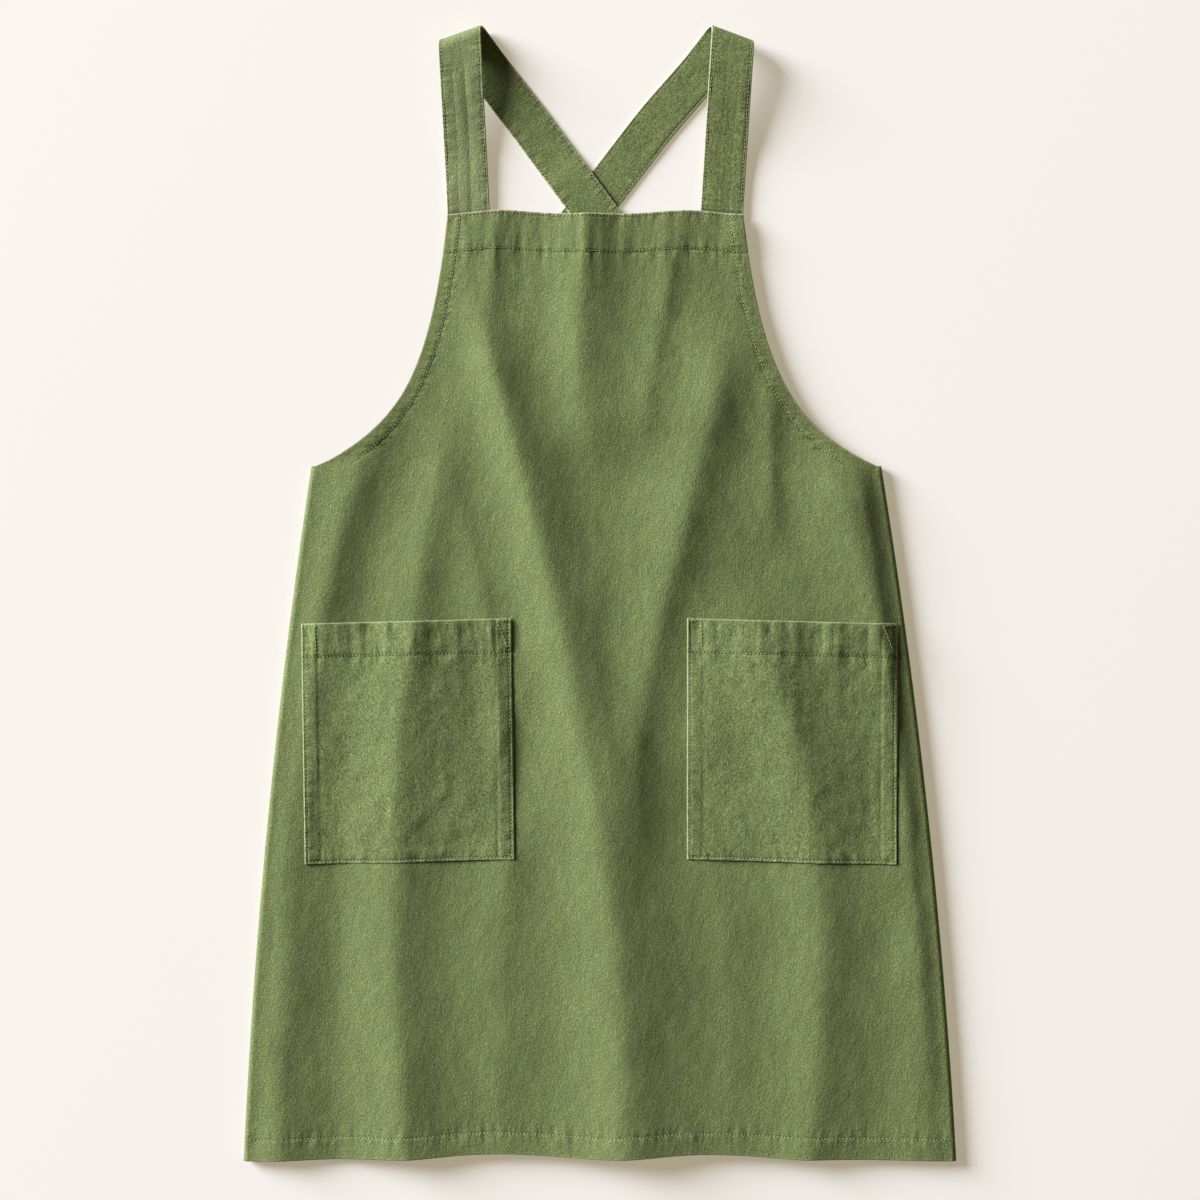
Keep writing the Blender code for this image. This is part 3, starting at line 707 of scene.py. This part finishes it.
def wing_points(side, row, inset=0.0):
    """Points from the side fold to the back panel's inner edge, rows by columns."""
    row = row[:, None]
    edge = front_edge_x(side, row)
    turn = np.pi * np.arange(1, FOLD_STEPS) / FOLD_STEPS
    radius = SIDE_FOLD_RADIUS - inset
    fold_x = edge + side * radius * np.sin(turn)
    fold_z = BACK_LEVEL + SIDE_FOLD_RADIUS + radius * np.cos(turn) + 0.0 * row
    down = (-row - ARMHOLE_DEPTH) / (BODY_LENGTH - ARMHOLE_DEPTH)
    width = mix(BACK_TOP_WIDTH, BACK_HEM_WIDTH, down) - SIDE_INSET
    share = 1.0 - np.linspace(1.0, 0.0, BACK_STEPS + 1) ** 1.15
    back_x = edge - side * width * share
    back_z = BACK_LEVEL + inset + 0.0 * back_x
    x = np.concatenate([fold_x, back_x], axis=1)
    z = np.concatenate([fold_z, back_z], axis=1)
    other = front_edge_x(-side, row)
    across = 2.0 * (x - other) / (edge - other) - 1.0
    covered = smooth((1.0 - across) / 0.1)
    lift = (edge_lift(across, row) + BACK_SHORT) * covered * smooth(1.0 - (BODY_LENGTH + row) / 0.25)
    return np.stack([x, row + np.where(across < 1.0, lift, 0.0), z], axis=-1)


def round_grid(rows, inset=0.0):
    x = front_columns(rows)
    front = front_surface(x, rows[:, None])
    front[..., 2] -= inset
    left = wing_points(-1, rows, inset)[:, ::-1]
    right = wing_points(1, rows, inset)
    return np.concatenate([left, front, right], axis=1), left.shape[1], front.shape[1]


def rolled(away, thick):
    """Half thickness that thins to a round edge."""
    return thick / 2 * mix(EDGE_THIN, 1.0, np.sqrt(np.clip(away / EDGE_ROUND, 0.0, 1.0)))


def run_across(points):
    """Length along each row, measured from the row's middle."""
    run = run_along(points)
    return run - run[:, run.shape[1] // 2][:, None]


def make_body(material):
    lines = (0.0, *BODY_SEAMS, -BODY_LENGTH)
    upper = graded(0.0, -ARMHOLE_DEPTH, 0.0058, lines)
    lower = graded(-ARMHOLE_DEPTH, -BODY_LENGTH, 0.0068, lines)
    rows = np.concatenate([upper, lower[1:]])
    waist = len(upper) - 1
    points, wing, front = round_grid(rows)
    mask = np.ones(points.shape[:2], bool)
    mask[:waist, :wing] = False
    mask[:waist, wing + front:] = False
    row = np.broadcast_to(rows[:, None], mask.shape)
    column = np.arange(mask.shape[1])
    side_away = np.ones(mask.shape)
    places = np.concatenate([EDGE_PLACES, np.full(front - 2 * len(EDGE_PLACES), 1.0), EDGE_PLACES[::-1]])
    side_away[:, wing:wing + front] = places
    above = smooth((row + ARMHOLE_DEPTH) / 0.004)
    armhole_away = np.where(above > 0, side_away, 1.0)
    inner = np.minimum(column, mask.shape[1] - 1 - column) * 0.004
    end_away = np.minimum(-row, BODY_LENGTH + row)
    half = rolled(np.minimum(np.minimum(end_away, inner), armhole_away), SHEET)
    on_front = np.zeros(mask.shape)
    on_front[:, wing:wing + front] = 1.0
    wear_and_painted_light = on_front * (0.75 * bell(-row, 0.0, 0.0011) + 0.7 * bell(BODY_LENGTH + row, 0.0, 0.0011)
                       + 0.75 * above * bell(armhole_away, 0.0, 0.001))
    # Painted shade along the stitched grooves
    seam = on_front * (0.8 * bell(-row, EDGE_STITCH, 0.0009) + 0.55 * bell(-row, BIB_STITCH, 0.001)
                       + 0.45 * bell(BODY_LENGTH + row, HEM_STITCH, 0.001)
                       + 0.6 * above * bell(armhole_away, ARMHOLE_STITCH, 0.0008))
    cloth = flat_cloth(run_across(points), row)
    edge = mix(1.0, armhole_away, above)
    piece, area = cloth_piece("apron_cloth", "apron_body", "canvas_body", material, points, half, cloth,
                              wear_and_painted_light, seam, mask, edge)


def facing_piece(name, node, points, half, material, flat, cloth):
    piece, area = cloth_piece(name, node, "canvas_facing", material, points, half, cloth)
    area = min(area, flat[0] * flat[1])


def make_bib_facing(material):
    rows = graded(0.0, -BIB_HEM, 0.0045, (0.0, -BIB_HEM), 0.0006, 0.002)
    x = front_columns(rows)
    row = np.broadcast_to(rows[:, None], x.shape)
    points = front_surface(x, row)
    points[..., 2] -= FACING_DROP
    half = rolled(np.minimum(-row, BIB_HEM + row), SHEET)
    flat = (0.3, BIB_HEM * 1.15)
    facing_piece("bib_hem", "bib_facing", points, half, material, flat, flat_cloth(x, row))


def make_hem_facing(material):
    ends = (BOTTOM_HEM - BODY_LENGTH, -BODY_LENGTH)
    rows = graded(*ends, 0.003, ends, 0.0006, 0.002)
    points = round_grid(rows, FACING_DROP)[0]
    row = np.broadcast_to(rows[:, None], points.shape[:2])
    half = rolled(np.minimum(BODY_LENGTH + row, BOTTOM_HEM - BODY_LENGTH - row), SHEET)
    cloth = flat_cloth(run_across(points), row)
    flat = (HEM_WIDTH + 2 * BACK_HEM_WIDTH, BOTTOM_HEM * 1.2)
    facing_piece("bottom_hem", "hem_facing", points, half, material, flat, cloth)


def make_armhole_facing(side, node, material):
    start = -BIB_HEM - 2 * SEAM_GAP
    stop = -ARMHOLE_DEPTH * 0.985
    away = graded(0.0, ARMHOLE_HEM, 0.0016, (0.0, ARMHOLE_HEM), 0.0003, 0.001)[::-side]
    first, last = np.searchsorted(-ARMHOLE[:, 1], [-start, -stop])
    curve = ARMHOLE[first:last:2]
    ahead = unit(np.gradient(curve, axis=0))
    inwards = np.stack([ahead[:, 1], -ahead[:, 0]], axis=1)
    inwards *= np.where(inwards[:, :1] > 0.0, -1.0, 1.0)
    place = curve[:, None, :] + inwards[:, None, :] * away[None, :, None]
    row = np.minimum(place[..., 1], start)
    x = centre_x(row) + side * place[..., 0]
    points = front_surface(x, row)
    points[..., 2] -= FACING_DROP + FACET_ROOM
    half = rolled(np.minimum(away, ARMHOLE_HEM - away), SHEET)
    flat = (ARMHOLE_HEM * 1.1, float(run_along(curve)[-1]) * 1.05)
    facing_piece(node.replace("facing", "hem"), node, points, half, material, flat, flat_cloth(x, row))


# Pockets

def pocket_surface(side, across, down):
    """Points of the middle of a pocket's cloth, by metres from its outer side and its mouth."""
    across, down = np.broadcast_arrays(across, down)
    flat_x = POCKET_WIDTH / 2 - across
    flat_y = POCKET_HEIGHT / 2 - down
    tilt = -side * POCKET_TILT
    lean = POCKET_LEAN[side] * math.sin(tilt)
    x = side * POCKET_SPACING / 2 + side * flat_x * math.cos(tilt) - flat_y * lean
    y = side * flat_x * math.sin(tilt) + flat_y * math.cos(tilt) - POCKET_DROP - POCKET_HEIGHT / 2
    bulge = np.sin(np.pi * np.clip(across / POCKET_WIDTH, 0.0, 1.0))
    ease = POCKET_EASE * bulge * np.cos(np.pi / 2 * np.clip(down / POCKET_HEIGHT, 0.0, 1.0))
    z = front_level(x, y) + SHEET + SEAM_GAP + ease + pocket_relief(side, across, down)
    return np.stack([x, y, z], axis=-1)


def pocket_relief(side, across, down):
    seed = 100 + 20 * (side + 1)
    other = POCKET_WIDTH - across
    below = POCKET_HEIGHT - down
    edge = np.minimum(np.minimum(across, other), below)
    middle = smooth(edge / 0.012)
    relief = middle * (0.00085 * mottle(across, down * 0.5, 0.03, seed)
                       + 0.00045 * mottle(across + down, across - down, 0.014, seed + 1))
    relief += 0.00022 * mottle(across + down, (across - down) * 0.6, 0.0075, seed + 2)
    relief += edge_form(edge, 0.00042) + edge_roll(down, 0.0003, EDGE_ROUND)
    relief += 0.0005 * smooth((POCKET_HEM - down) / 0.002)
    relief += rope(across, down - POCKET_HEM + 0.001, seed + 3, 0.00045)
    welt = 0.00025 * bell(down - POCKET_HEM, 0.0048, 0.0012)
    relief += welt * (0.6 + 0.4 * wobble(across, 0.03, seed + 4))
    gather = pucker(across, 0.012 - np.minimum(down, 0.03), seed + 5, "mouth")
    gather += pucker(across, 0.016 - np.minimum(down, 0.03), seed + 15, "broad mouth")
    relief += gather * smooth((POCKET_HEM + 0.016 - down) / 0.016) * smooth(edge / 0.008)
    relief += pucker(across, below, seed + 7, "pocket foot") * smooth(below / 0.004)
    for away, extra in ((across, 8), (other, 10), (below, 12)):
        inside = smooth((edge - 0.002) / 0.004)
        step = 0.0003 * smooth((POCKET_ALLOWANCE - away) / 0.0022)
        dent = -0.00022 * bell(away - POCKET_ALLOWANCE, 0.001, 0.0018)
        relief += inside * (step + dent)
        run = down if extra < 12 else across
        relief += pucker(run, away, seed + extra, "pocket edge") * smooth(away / 0.003)
    return 0.0009 * np.tanh(np.minimum(relief, 0.0) / 0.0009) + np.maximum(relief, 0.0)


def make_pocket(side, node, material):
    lines_x = (0.0, EDGE_STITCH, POCKET_ALLOWANCE, POCKET_WIDTH - POCKET_ALLOWANCE,
               POCKET_WIDTH - EDGE_STITCH, POCKET_WIDTH)
    lines_y = (0.0, POCKET_HEM, POCKET_HEIGHT - EDGE_STITCH, POCKET_HEIGHT)
    across = graded(0.0, POCKET_WIDTH, 0.0022, lines_x, 0.0006, 0.003)
    down = graded(0.0, POCKET_HEIGHT, 0.0034, lines_y, 0.0006, 0.003)
    a, b = np.meshgrid(across[::-side], down)
    points = pocket_surface(side, a, b)
    edge = np.minimum(np.minimum(a, POCKET_WIDTH - a), POCKET_HEIGHT - b)
    half = rolled(np.minimum(edge, b), SHEET)
    wear_and_painted_light = 0.6 * bell(edge, 0.0002, 0.0008) + 0.55 * bell(b, 0.0, 0.0009)
    # Painted shade along the stitched grooves
    seam = 0.85 * bell(edge, EDGE_STITCH, 0.0008) + 0.6 * bell(b - POCKET_HEM + 0.001, 0.0, 0.001)
    cloth = flat_cloth(a, b, 0.5 + 0.2 * side)
    piece, area = cloth_piece(node.replace("pocket", "patch_pocket"), node, "canvas_pocket", material,
                              points, half, cloth, wear_and_painted_light, seam)
    area = min(area, 1.04 * POCKET_WIDTH * POCKET_HEIGHT)


# Straps

def strap_frame(strap):
    side = strap["side"]
    start = np.array([front_edge_x(side, 0.0) - side * STRAP_WIDTH / 2, 0.0])
    turn = start + STRAP_RISE * np.array([side * math.tan(math.radians(strap["lean"])), 1.0])
    waist = -ARMHOLE_DEPTH
    panel_side = front_edge_x(-side, waist) - side * SIDE_INSET
    land_x = panel_side + side * strap["landing"] * BACK_TOP_WIDTH
    land = np.array([land_x, waist - STRAP_OVERLAP / 2])
    rising = unit(turn - start)
    falling = unit(land - turn)
    normal = unit(rising - falling)
    fold = unit(rising + falling)
    return {
        "turn": turn, "falling": falling, "normal": normal, "fold": fold,
        "cos": float(rising @ normal), "sin": float(rising @ fold),
        "front": float(np.linalg.norm(turn - start)) + STRAP_TUCK,
        "back": float(np.linalg.norm(land - turn)) + STRAP_OVERLAP / 2,
    }


def rise_profile():
    top = STRAP_LEVEL + 2 * LOOP_RADIUS
    reach = np.arange(0.0, STRAP_RISE + STRAP_TUCK + STRAP_WIDTH, 0.0005)
    z = mix(top, STRAP_END_LEVEL, smooth(reach / LOOP_RUN))
    return run_along(np.stack([reach, z], axis=-1)), reach, z


RISE_RUN, RISE_REACH, RISE_Z = rise_profile()


def strap_profile(t):
    """Sideways run and height of a strap's loop, by metres along it from the loop's middle."""
    quarter = math.pi * LOOP_RADIUS / 2
    turn = np.clip(t / LOOP_RADIUS, -math.pi / 2, math.pi / 2)
    h = LOOP_RADIUS * (np.cos(turn) - 1.0)
    z = STRAP_LEVEL + LOOP_RADIUS * (1.0 - np.sin(turn))
    h = np.where(t > quarter, -LOOP_RADIUS - (t - quarter), h)
    front = t < -quarter
    h = np.where(front, -LOOP_RADIUS - np.interp(-t - quarter, RISE_RUN, RISE_REACH), h)
    return h, np.where(front, np.interp(-t - quarter, RISE_RUN, RISE_Z), z)


def strap_lift(strap, here, other, along, y):
    """How far a strap rises over the other one and over the back panel's edge."""
    a = here["falling"]
    b = other["falling"]
    lift = 0.0
    if strap["over"]:
        gap = other["turn"] - here["turn"]
        spread = a[0] * b[1] - a[1] * b[0]
        where = (gap[0] * b[1] - gap[1] * b[0]) / spread
        half = (STRAP_WIDTH / 2) * (1.0 + abs(float(a @ b))) / abs(spread)
        past = np.abs(along - where) - half - STRAP_THICK
        lift = (STRAP_THICK + SEAM_GAP) * smooth(1.0 - past / CROSSING_RAMP)
    above = y + ARMHOLE_DEPTH - STRAP_WIDTH / 2 * abs(a[0]) - SHEET
    return np.maximum(lift, (SHEET + SEAM_GAP) * smooth(1.0 - above / CROSSING_RAMP))


def strap_surface(strap, frames, station, across):
    """Points of the middle of a strap, by metres along it and across from its middle."""
    here = frames[strap["name"]]
    other = next(frames[name] for name in frames if name != strap["name"])
    beside = np.abs(station) - LOOP_ZONE
    slanted = 1.0 - smooth(beside / (2 * LOOP_ZONE))
    along = station + across * here["sin"] / here["cos"] * slanted
    t = along * here["cos"] - across * here["sin"]
    q = along * here["sin"] + across * here["cos"]
    h, z = strap_profile(t)
    centre = here["turn"] - (math.pi / 2 - 1.0) * LOOP_RADIUS * here["normal"]
    place = centre + q[..., None] * here["fold"] + h[..., None] * here["normal"]
    drift = smooth((station - LOOP_ZONE) / DRIFT_REACH) * smooth((here["back"] - station) / DRIFT_REACH)
    place = place + drift[..., None] * np.array(BACK_DRIFT)
    lift = strap_lift(strap, here, other, along, place[..., 1])
    z = z + np.where(station > LOOP_ZONE, lift, 0.0)
    front = smooth((-station - 0.018) / 0.03) * smooth((station + here["front"] - STRAP_TUCK) / 0.05)
    z = z - strap["roll"] * front * across * strap["side"] * here["cos"]
    return np.concatenate([place, z[..., None]], axis=-1), along


def strap_relief(seed, along, across):
    """Creases along the strap, which lift its middle a little."""
    room = STRAP_WIDTH / 2 - np.abs(across)
    crease = 0.00045 * wobble(across + 0.004 * wobble(along, 0.16, seed), 0.0062, seed + 1)
    crease = crease * (0.6 + 0.4 * wobble(along, 0.08, seed + 2)) * smooth(room / 0.006)
    ripple = 0.0003 * wobble(along, 0.009, seed + 3) * smooth(1.0 - room / 0.014)
    dents = 0.0003 * mottle(across, along * 0.6, 0.012, seed + 4)
    drift = across + 0.0012 * wobble(along, 0.06, seed + 5)
    pressed = sum(bell(drift, place, 0.0013) for place in STRAP_CREASES)
    return crease + ripple + dents - 0.00018 * pressed


def make_strap(strap, frames, material):
    here = frames[strap["name"]]
    seed = 200 + 10 * strap["side"]
    ends = (-here["front"], here["back"])
    stations = graded(*ends, 0.0036, (*ends, -0.014, 0.014), 0.0011, 0.01)
    lines = (-STRAP_WIDTH / 2, *STRAP_SEAMS, *STRAP_CREASES, STRAP_WIDTH / 2)
    across = graded(-STRAP_WIDTH / 2, STRAP_WIDTH / 2, 0.002, lines, 0.00045, 0.002)
    a, s = np.meshgrid(across[::-strap["side"]], stations[::-1])
    points, along = strap_surface(strap, frames, s, a)
    room = STRAP_WIDTH / 2 - np.abs(a)
    relief = strap_relief(seed, along, a)
    calm, full = CROSSING_REACH
    past = (np.abs(points[..., 1] - CROSSING_PLACE) - calm) / (full - calm)
    relief = np.where(s > 0, 0.5 * (relief + 0.0006) * smooth(past), relief)
    points[..., 2] += relief * smooth((np.abs(s) - LOOP_ZONE) / 0.02)
    points[..., 2] = np.maximum(points[..., 2], STRAP_LEVEL)
    end = np.minimum(s + here["front"], here["back"] - s)
    groove = 0.3 * bell(room, EDGE_STITCH, 0.0008)
    half = rolled(np.minimum(room, end), STRAP_THICK) * (1.0 - groove)
    # Pale worn edges, and a painted highlight over a strap's front stretch by its fade share
    wear_and_painted_light = 0.95 * bell(room, 0.0, 0.001) + strap["fade"] * smooth(-s / 0.02)
    # Painted shade along the stitched grooves
    seam = 0.8 * bell(room, EDGE_STITCH, 0.0008)
    # Painted shadow of the bib's top edge, across the strap just above it
    seam = np.maximum(seam, 1.3 * bell(s + here["front"] - STRAP_TUCK, 0.0018, 0.0016))
    cloth = flat_cloth(a, along, 0.2 + 0.3 * strap["side"])
    parts = (part[::-1] for part in (points, half, cloth, wear_and_painted_light, seam))
    piece, _ = cloth_piece(strap["name"] + "_cloth", strap["name"], "canvas_strap", material, *parts)


# Stitches

def resample(points, pitch):
    run = run_along(points)
    places = np.arange(pitch / 2, run[-1] - pitch / 2, pitch)
    return np.stack([np.interp(places, run, points[:, k]) for k in range(3)], axis=1)


def stitch_row(path, up=(0.0, 0.0, 1.0), sink=0.0):
    """Centres, directions and up vectors of the stitches along a path; up may vary along it."""
    centres = resample(path, STITCH_PITCH)
    ahead = unit(np.gradient(centres, axis=0))
    shares = (np.linspace(0.0, 1.0, len(points)) for points in (path, centres))
    upward = np.broadcast_to(up, path.shape)[np.searchsorted(*shares)]
    upward = unit(upward - ahead * np.sum(upward * ahead, axis=1, keepdims=True))
    return centres + upward * sink, ahead, upward


def capsules(name, rows, size, material, turned=False):
    """One joined mesh of short round-ended threads, or of dark capsules between them that paint the shade in
    the needle holes.
    """
    length, width, sink = size
    sides = 6
    angle = 2 * np.pi * np.arange(sides) / sides
    shape = np.array([(l * length, r * width / 2 * math.cos(k), r * width / 2 * math.sin(k))
                      for l, r in CAPSULE_RINGS for k in angle])
    last = (len(CAPSULE_RINGS) - 1) * sides
    sideways = [(ring + k, ring + (k + 1) % sides) for ring in range(0, last, sides) for k in range(sides)]
    quads = [(a, b, b + sides, a + sides) for a, b in sideways]
    quads += [(0, 5, 4, 3), (3, 2, 1, 0), (18, 19, 20, 21), (21, 22, 23, 18)]
    quads = np.array(quads)
    if turned:
        rows = [tuple((part[1:] + part[:-1]) / 2 for part in row) for row in rows if len(row[0]) > 1]
    centres, ahead, upward = (np.concatenate([row[k] for row in rows]) for k in range(3))
    beside = np.cross(upward, ahead)
    if turned:
        ahead, beside = beside, -ahead
    centres = centres + upward * sink
    uneven = np.random.default_rng(len(centres)).uniform(0.6 if turned else 0.85, 1.12, (len(centres), 1, 1))
    shape = shape * uneven
    points = centres[:, None, :] + shape @ np.stack([ahead, beside, upward], axis=1)
    faces = quads + shape.shape[1] * np.arange(len(centres))[:, None, None]
    points = points.reshape(-1, 3) + np.array([0.0, SHIFT_Y, 0.0])
    new_piece(name, points, faces.reshape(-1, 4), {}, material)


def stitches(name, rows, materials, hole_shape=HOLE_SHAPE):
    thread, hole = materials
    capsules(name, rows, THREAD_SHAPE, thread)
    # Dark capsules between the stitches: painted shade in the needle holes
    capsules(name.replace("stitches", "painted_hole_shades"), rows, hole_shape, hole, turned=True)


def body_stitches(material):
    rows = []
    lift = SHEET / 2 + 0.0001
    for row, inset in zip(BODY_SEAMS, (0.002, 0.001, -0.0005)):
        left = front_edge_x(-1, row) + inset
        right = front_edge_x(1, row) - inset
        rows.append(stitch_row(front_surface(np.linspace(left, right, 900), row), sink=lift))
    for side in (-1, 1):
        row = np.interp(np.linspace(0.0, 1.0, 500), np.linspace(0.0, 1.0, 400), ARMHOLE[:, 1]) - 0.0005
        x = front_edge_x(side, row) - side * ARMHOLE_STITCH * edge_stretch(row)
        rows.append(stitch_row(front_surface(x, row), sink=lift))
        hem = np.array([HEM_STITCH - BODY_LENGTH])
        back = wing_points(side, hem)[0][FOLD_STEPS:]
        rows.append(stitch_row(back, (0.0, 0.0, -1.0), SHEET / 2 - 0.0003))
    stitches("body_stitches", rows, material)


def pocket_stitches(material):
    rows = []
    lift = SHEET / 2 + 0.0001
    share = np.linspace(0.0, 1.0, 300)
    e = EDGE_STITCH
    right = POCKET_WIDTH - e
    bottom = POCKET_HEIGHT - e
    hem = POCKET_HEM - 0.001
    corner = 0.013
    far = POCKET_WIDTH - corner
    lines = (((e, 0.001), (e, bottom)), ((e, bottom), (right, bottom)), ((right, bottom), (right, 0.001)),
             ((e, hem), (right, hem)), ((e, 0.002), (corner, 0.002)),
             ((corner, 0.002), (corner + 0.001, hem)),
             ((right, 0.002), (far, 0.002)), ((far, 0.002), (right, POCKET_HEM - 0.003)))
    for side in (-1, 1):
        for (a0, b0), (a1, b1) in lines:
            if side > 0:
                a0, a1 = POCKET_WIDTH - a0, POCKET_WIDTH - a1
            path = pocket_surface(side, mix(a0, a1, share), mix(b0, b1, share))
            rows.append(stitch_row(path, sink=lift))
    stitches("pocket_stitches", rows, material, POCKET_HOLE_SHAPE)


def strap_stitches(frames, material):
    rows = []
    for strap in STRAPS:
        here = frames[strap["name"]]
        s = np.linspace(0.002 - here["front"], here["back"] - 0.002, 1500)
        for line in STRAP_SEAMS:
            middle, beside = (strap_surface(strap, frames, s, np.full(s.shape, across))[0]
                              for across in (line, line + 0.001))
            normal = unit(np.cross(np.gradient(middle, axis=0), beside - middle))
            if normal[0, 2] < 0:
                normal = -normal
            for up in (normal, -normal):
                rows.append(stitch_row(middle + up * (STRAP_THICK / 2 * 0.72), up))
    stitches("strap_stitches", rows, material)


# Stage, light and camera

def make_floor():
    mesh = bpy.data.meshes.new("floor")
    r = FLOOR_REACH
    mesh.from_pydata([(-r, -r, 0), (r, -r, 0), (r, r, 0), (-r, r, 0)], [], [(0, 1, 2, 3)])
    nodes = Nodes("floor_paper")
    nodes.surface(Base_Color=(*FLOOR, 1.0), Emission_Color=(*FLOOR_GLOW, 1.0), Emission_Strength=1.0,
                  Roughness=0.9, Specular_IOR_Level=0.1)
    mesh.materials.append(nodes.material)
    add_object("floor", mesh, (0.0, 0.0, FLOOR_LEVEL))


def make_key():
    data = bpy.data.lights.new("key", "AREA")
    data.shape = "DISK"
    data.size = 15.0
    data.energy = 21900.0
    data.color = (0.985, 1.0, 1.02)
    distance = 28.0
    elevation = math.radians(20.0)
    azimuth = math.radians(151.0)
    level = distance * math.cos(elevation)
    place = (level * math.cos(azimuth), level * math.sin(azimuth), distance * math.sin(elevation))
    light = add_object("key", data, place)
    light.rotation_euler = (-light.location).to_track_quat("-Z", "Y").to_euler()


def make_camera():
    data = bpy.data.cameras.new("camera")
    data.lens = data.sensor_width * (CAMERA_HEIGHT - MEAN_LEVEL) / FRAME_WIDTH
    place = (0.0, SHIFT_Y + CAMERA_Y, CAMERA_HEIGHT)
    bpy.context.scene.camera = add_object("camera", data, place)


def make_studio():
    make_floor()
    make_key()
    world = bpy.data.worlds.new("studio")
    world.use_nodes = True
    sky = world.node_tree.nodes["Background"]
    sky.inputs["Color"].default_value = (1.0, 0.88, 0.55, 1.0)
    sky.inputs["Strength"].default_value = 0.08
    bpy.context.scene.world = world
    bpy.context.scene.view_settings.view_transform = "Standard"
    make_camera()


def main():
    frames = {strap["name"]: strap_frame(strap) for strap in STRAPS}
    body = canvas_material("canvas_body", down=BODY_SEAMS, side=(ARMHOLE_STITCH,))
    facing = canvas_material("canvas_facing", 0.92)
    across = (EDGE_STITCH, POCKET_WIDTH - EDGE_STITCH)
    down = (POCKET_HEM, POCKET_HEIGHT - EDGE_STITCH, 0.01)
    pocket = canvas_material("canvas_pocket", 1.0, across, down)
    strap_cloth = canvas_material("canvas_strap", 1.0, STRAP_SEAMS)
    # Thread, and the painted shade of the needle holes
    thread = (thread_material("thread", THREAD, 0.75, 1.2),
              thread_material("painted_hole_shade", HOLE_SHADE, 0.8, 1.1))
    make_studio()
    make_body(body)
    make_bib_facing(facing)
    make_hem_facing(facing)
    sides = ((-1, "left"), (1, "right"))
    for side, name in sides:
        make_armhole_facing(side, "armhole_facing_" + name, facing)
    for side, name in sides:
        make_pocket(side, "pocket_" + name, pocket)
    for strap in STRAPS:
        make_strap(strap, frames, strap_cloth)
    body_stitches(thread)
    pocket_stitches(thread)
    strap_stitches(frames, thread)


main()
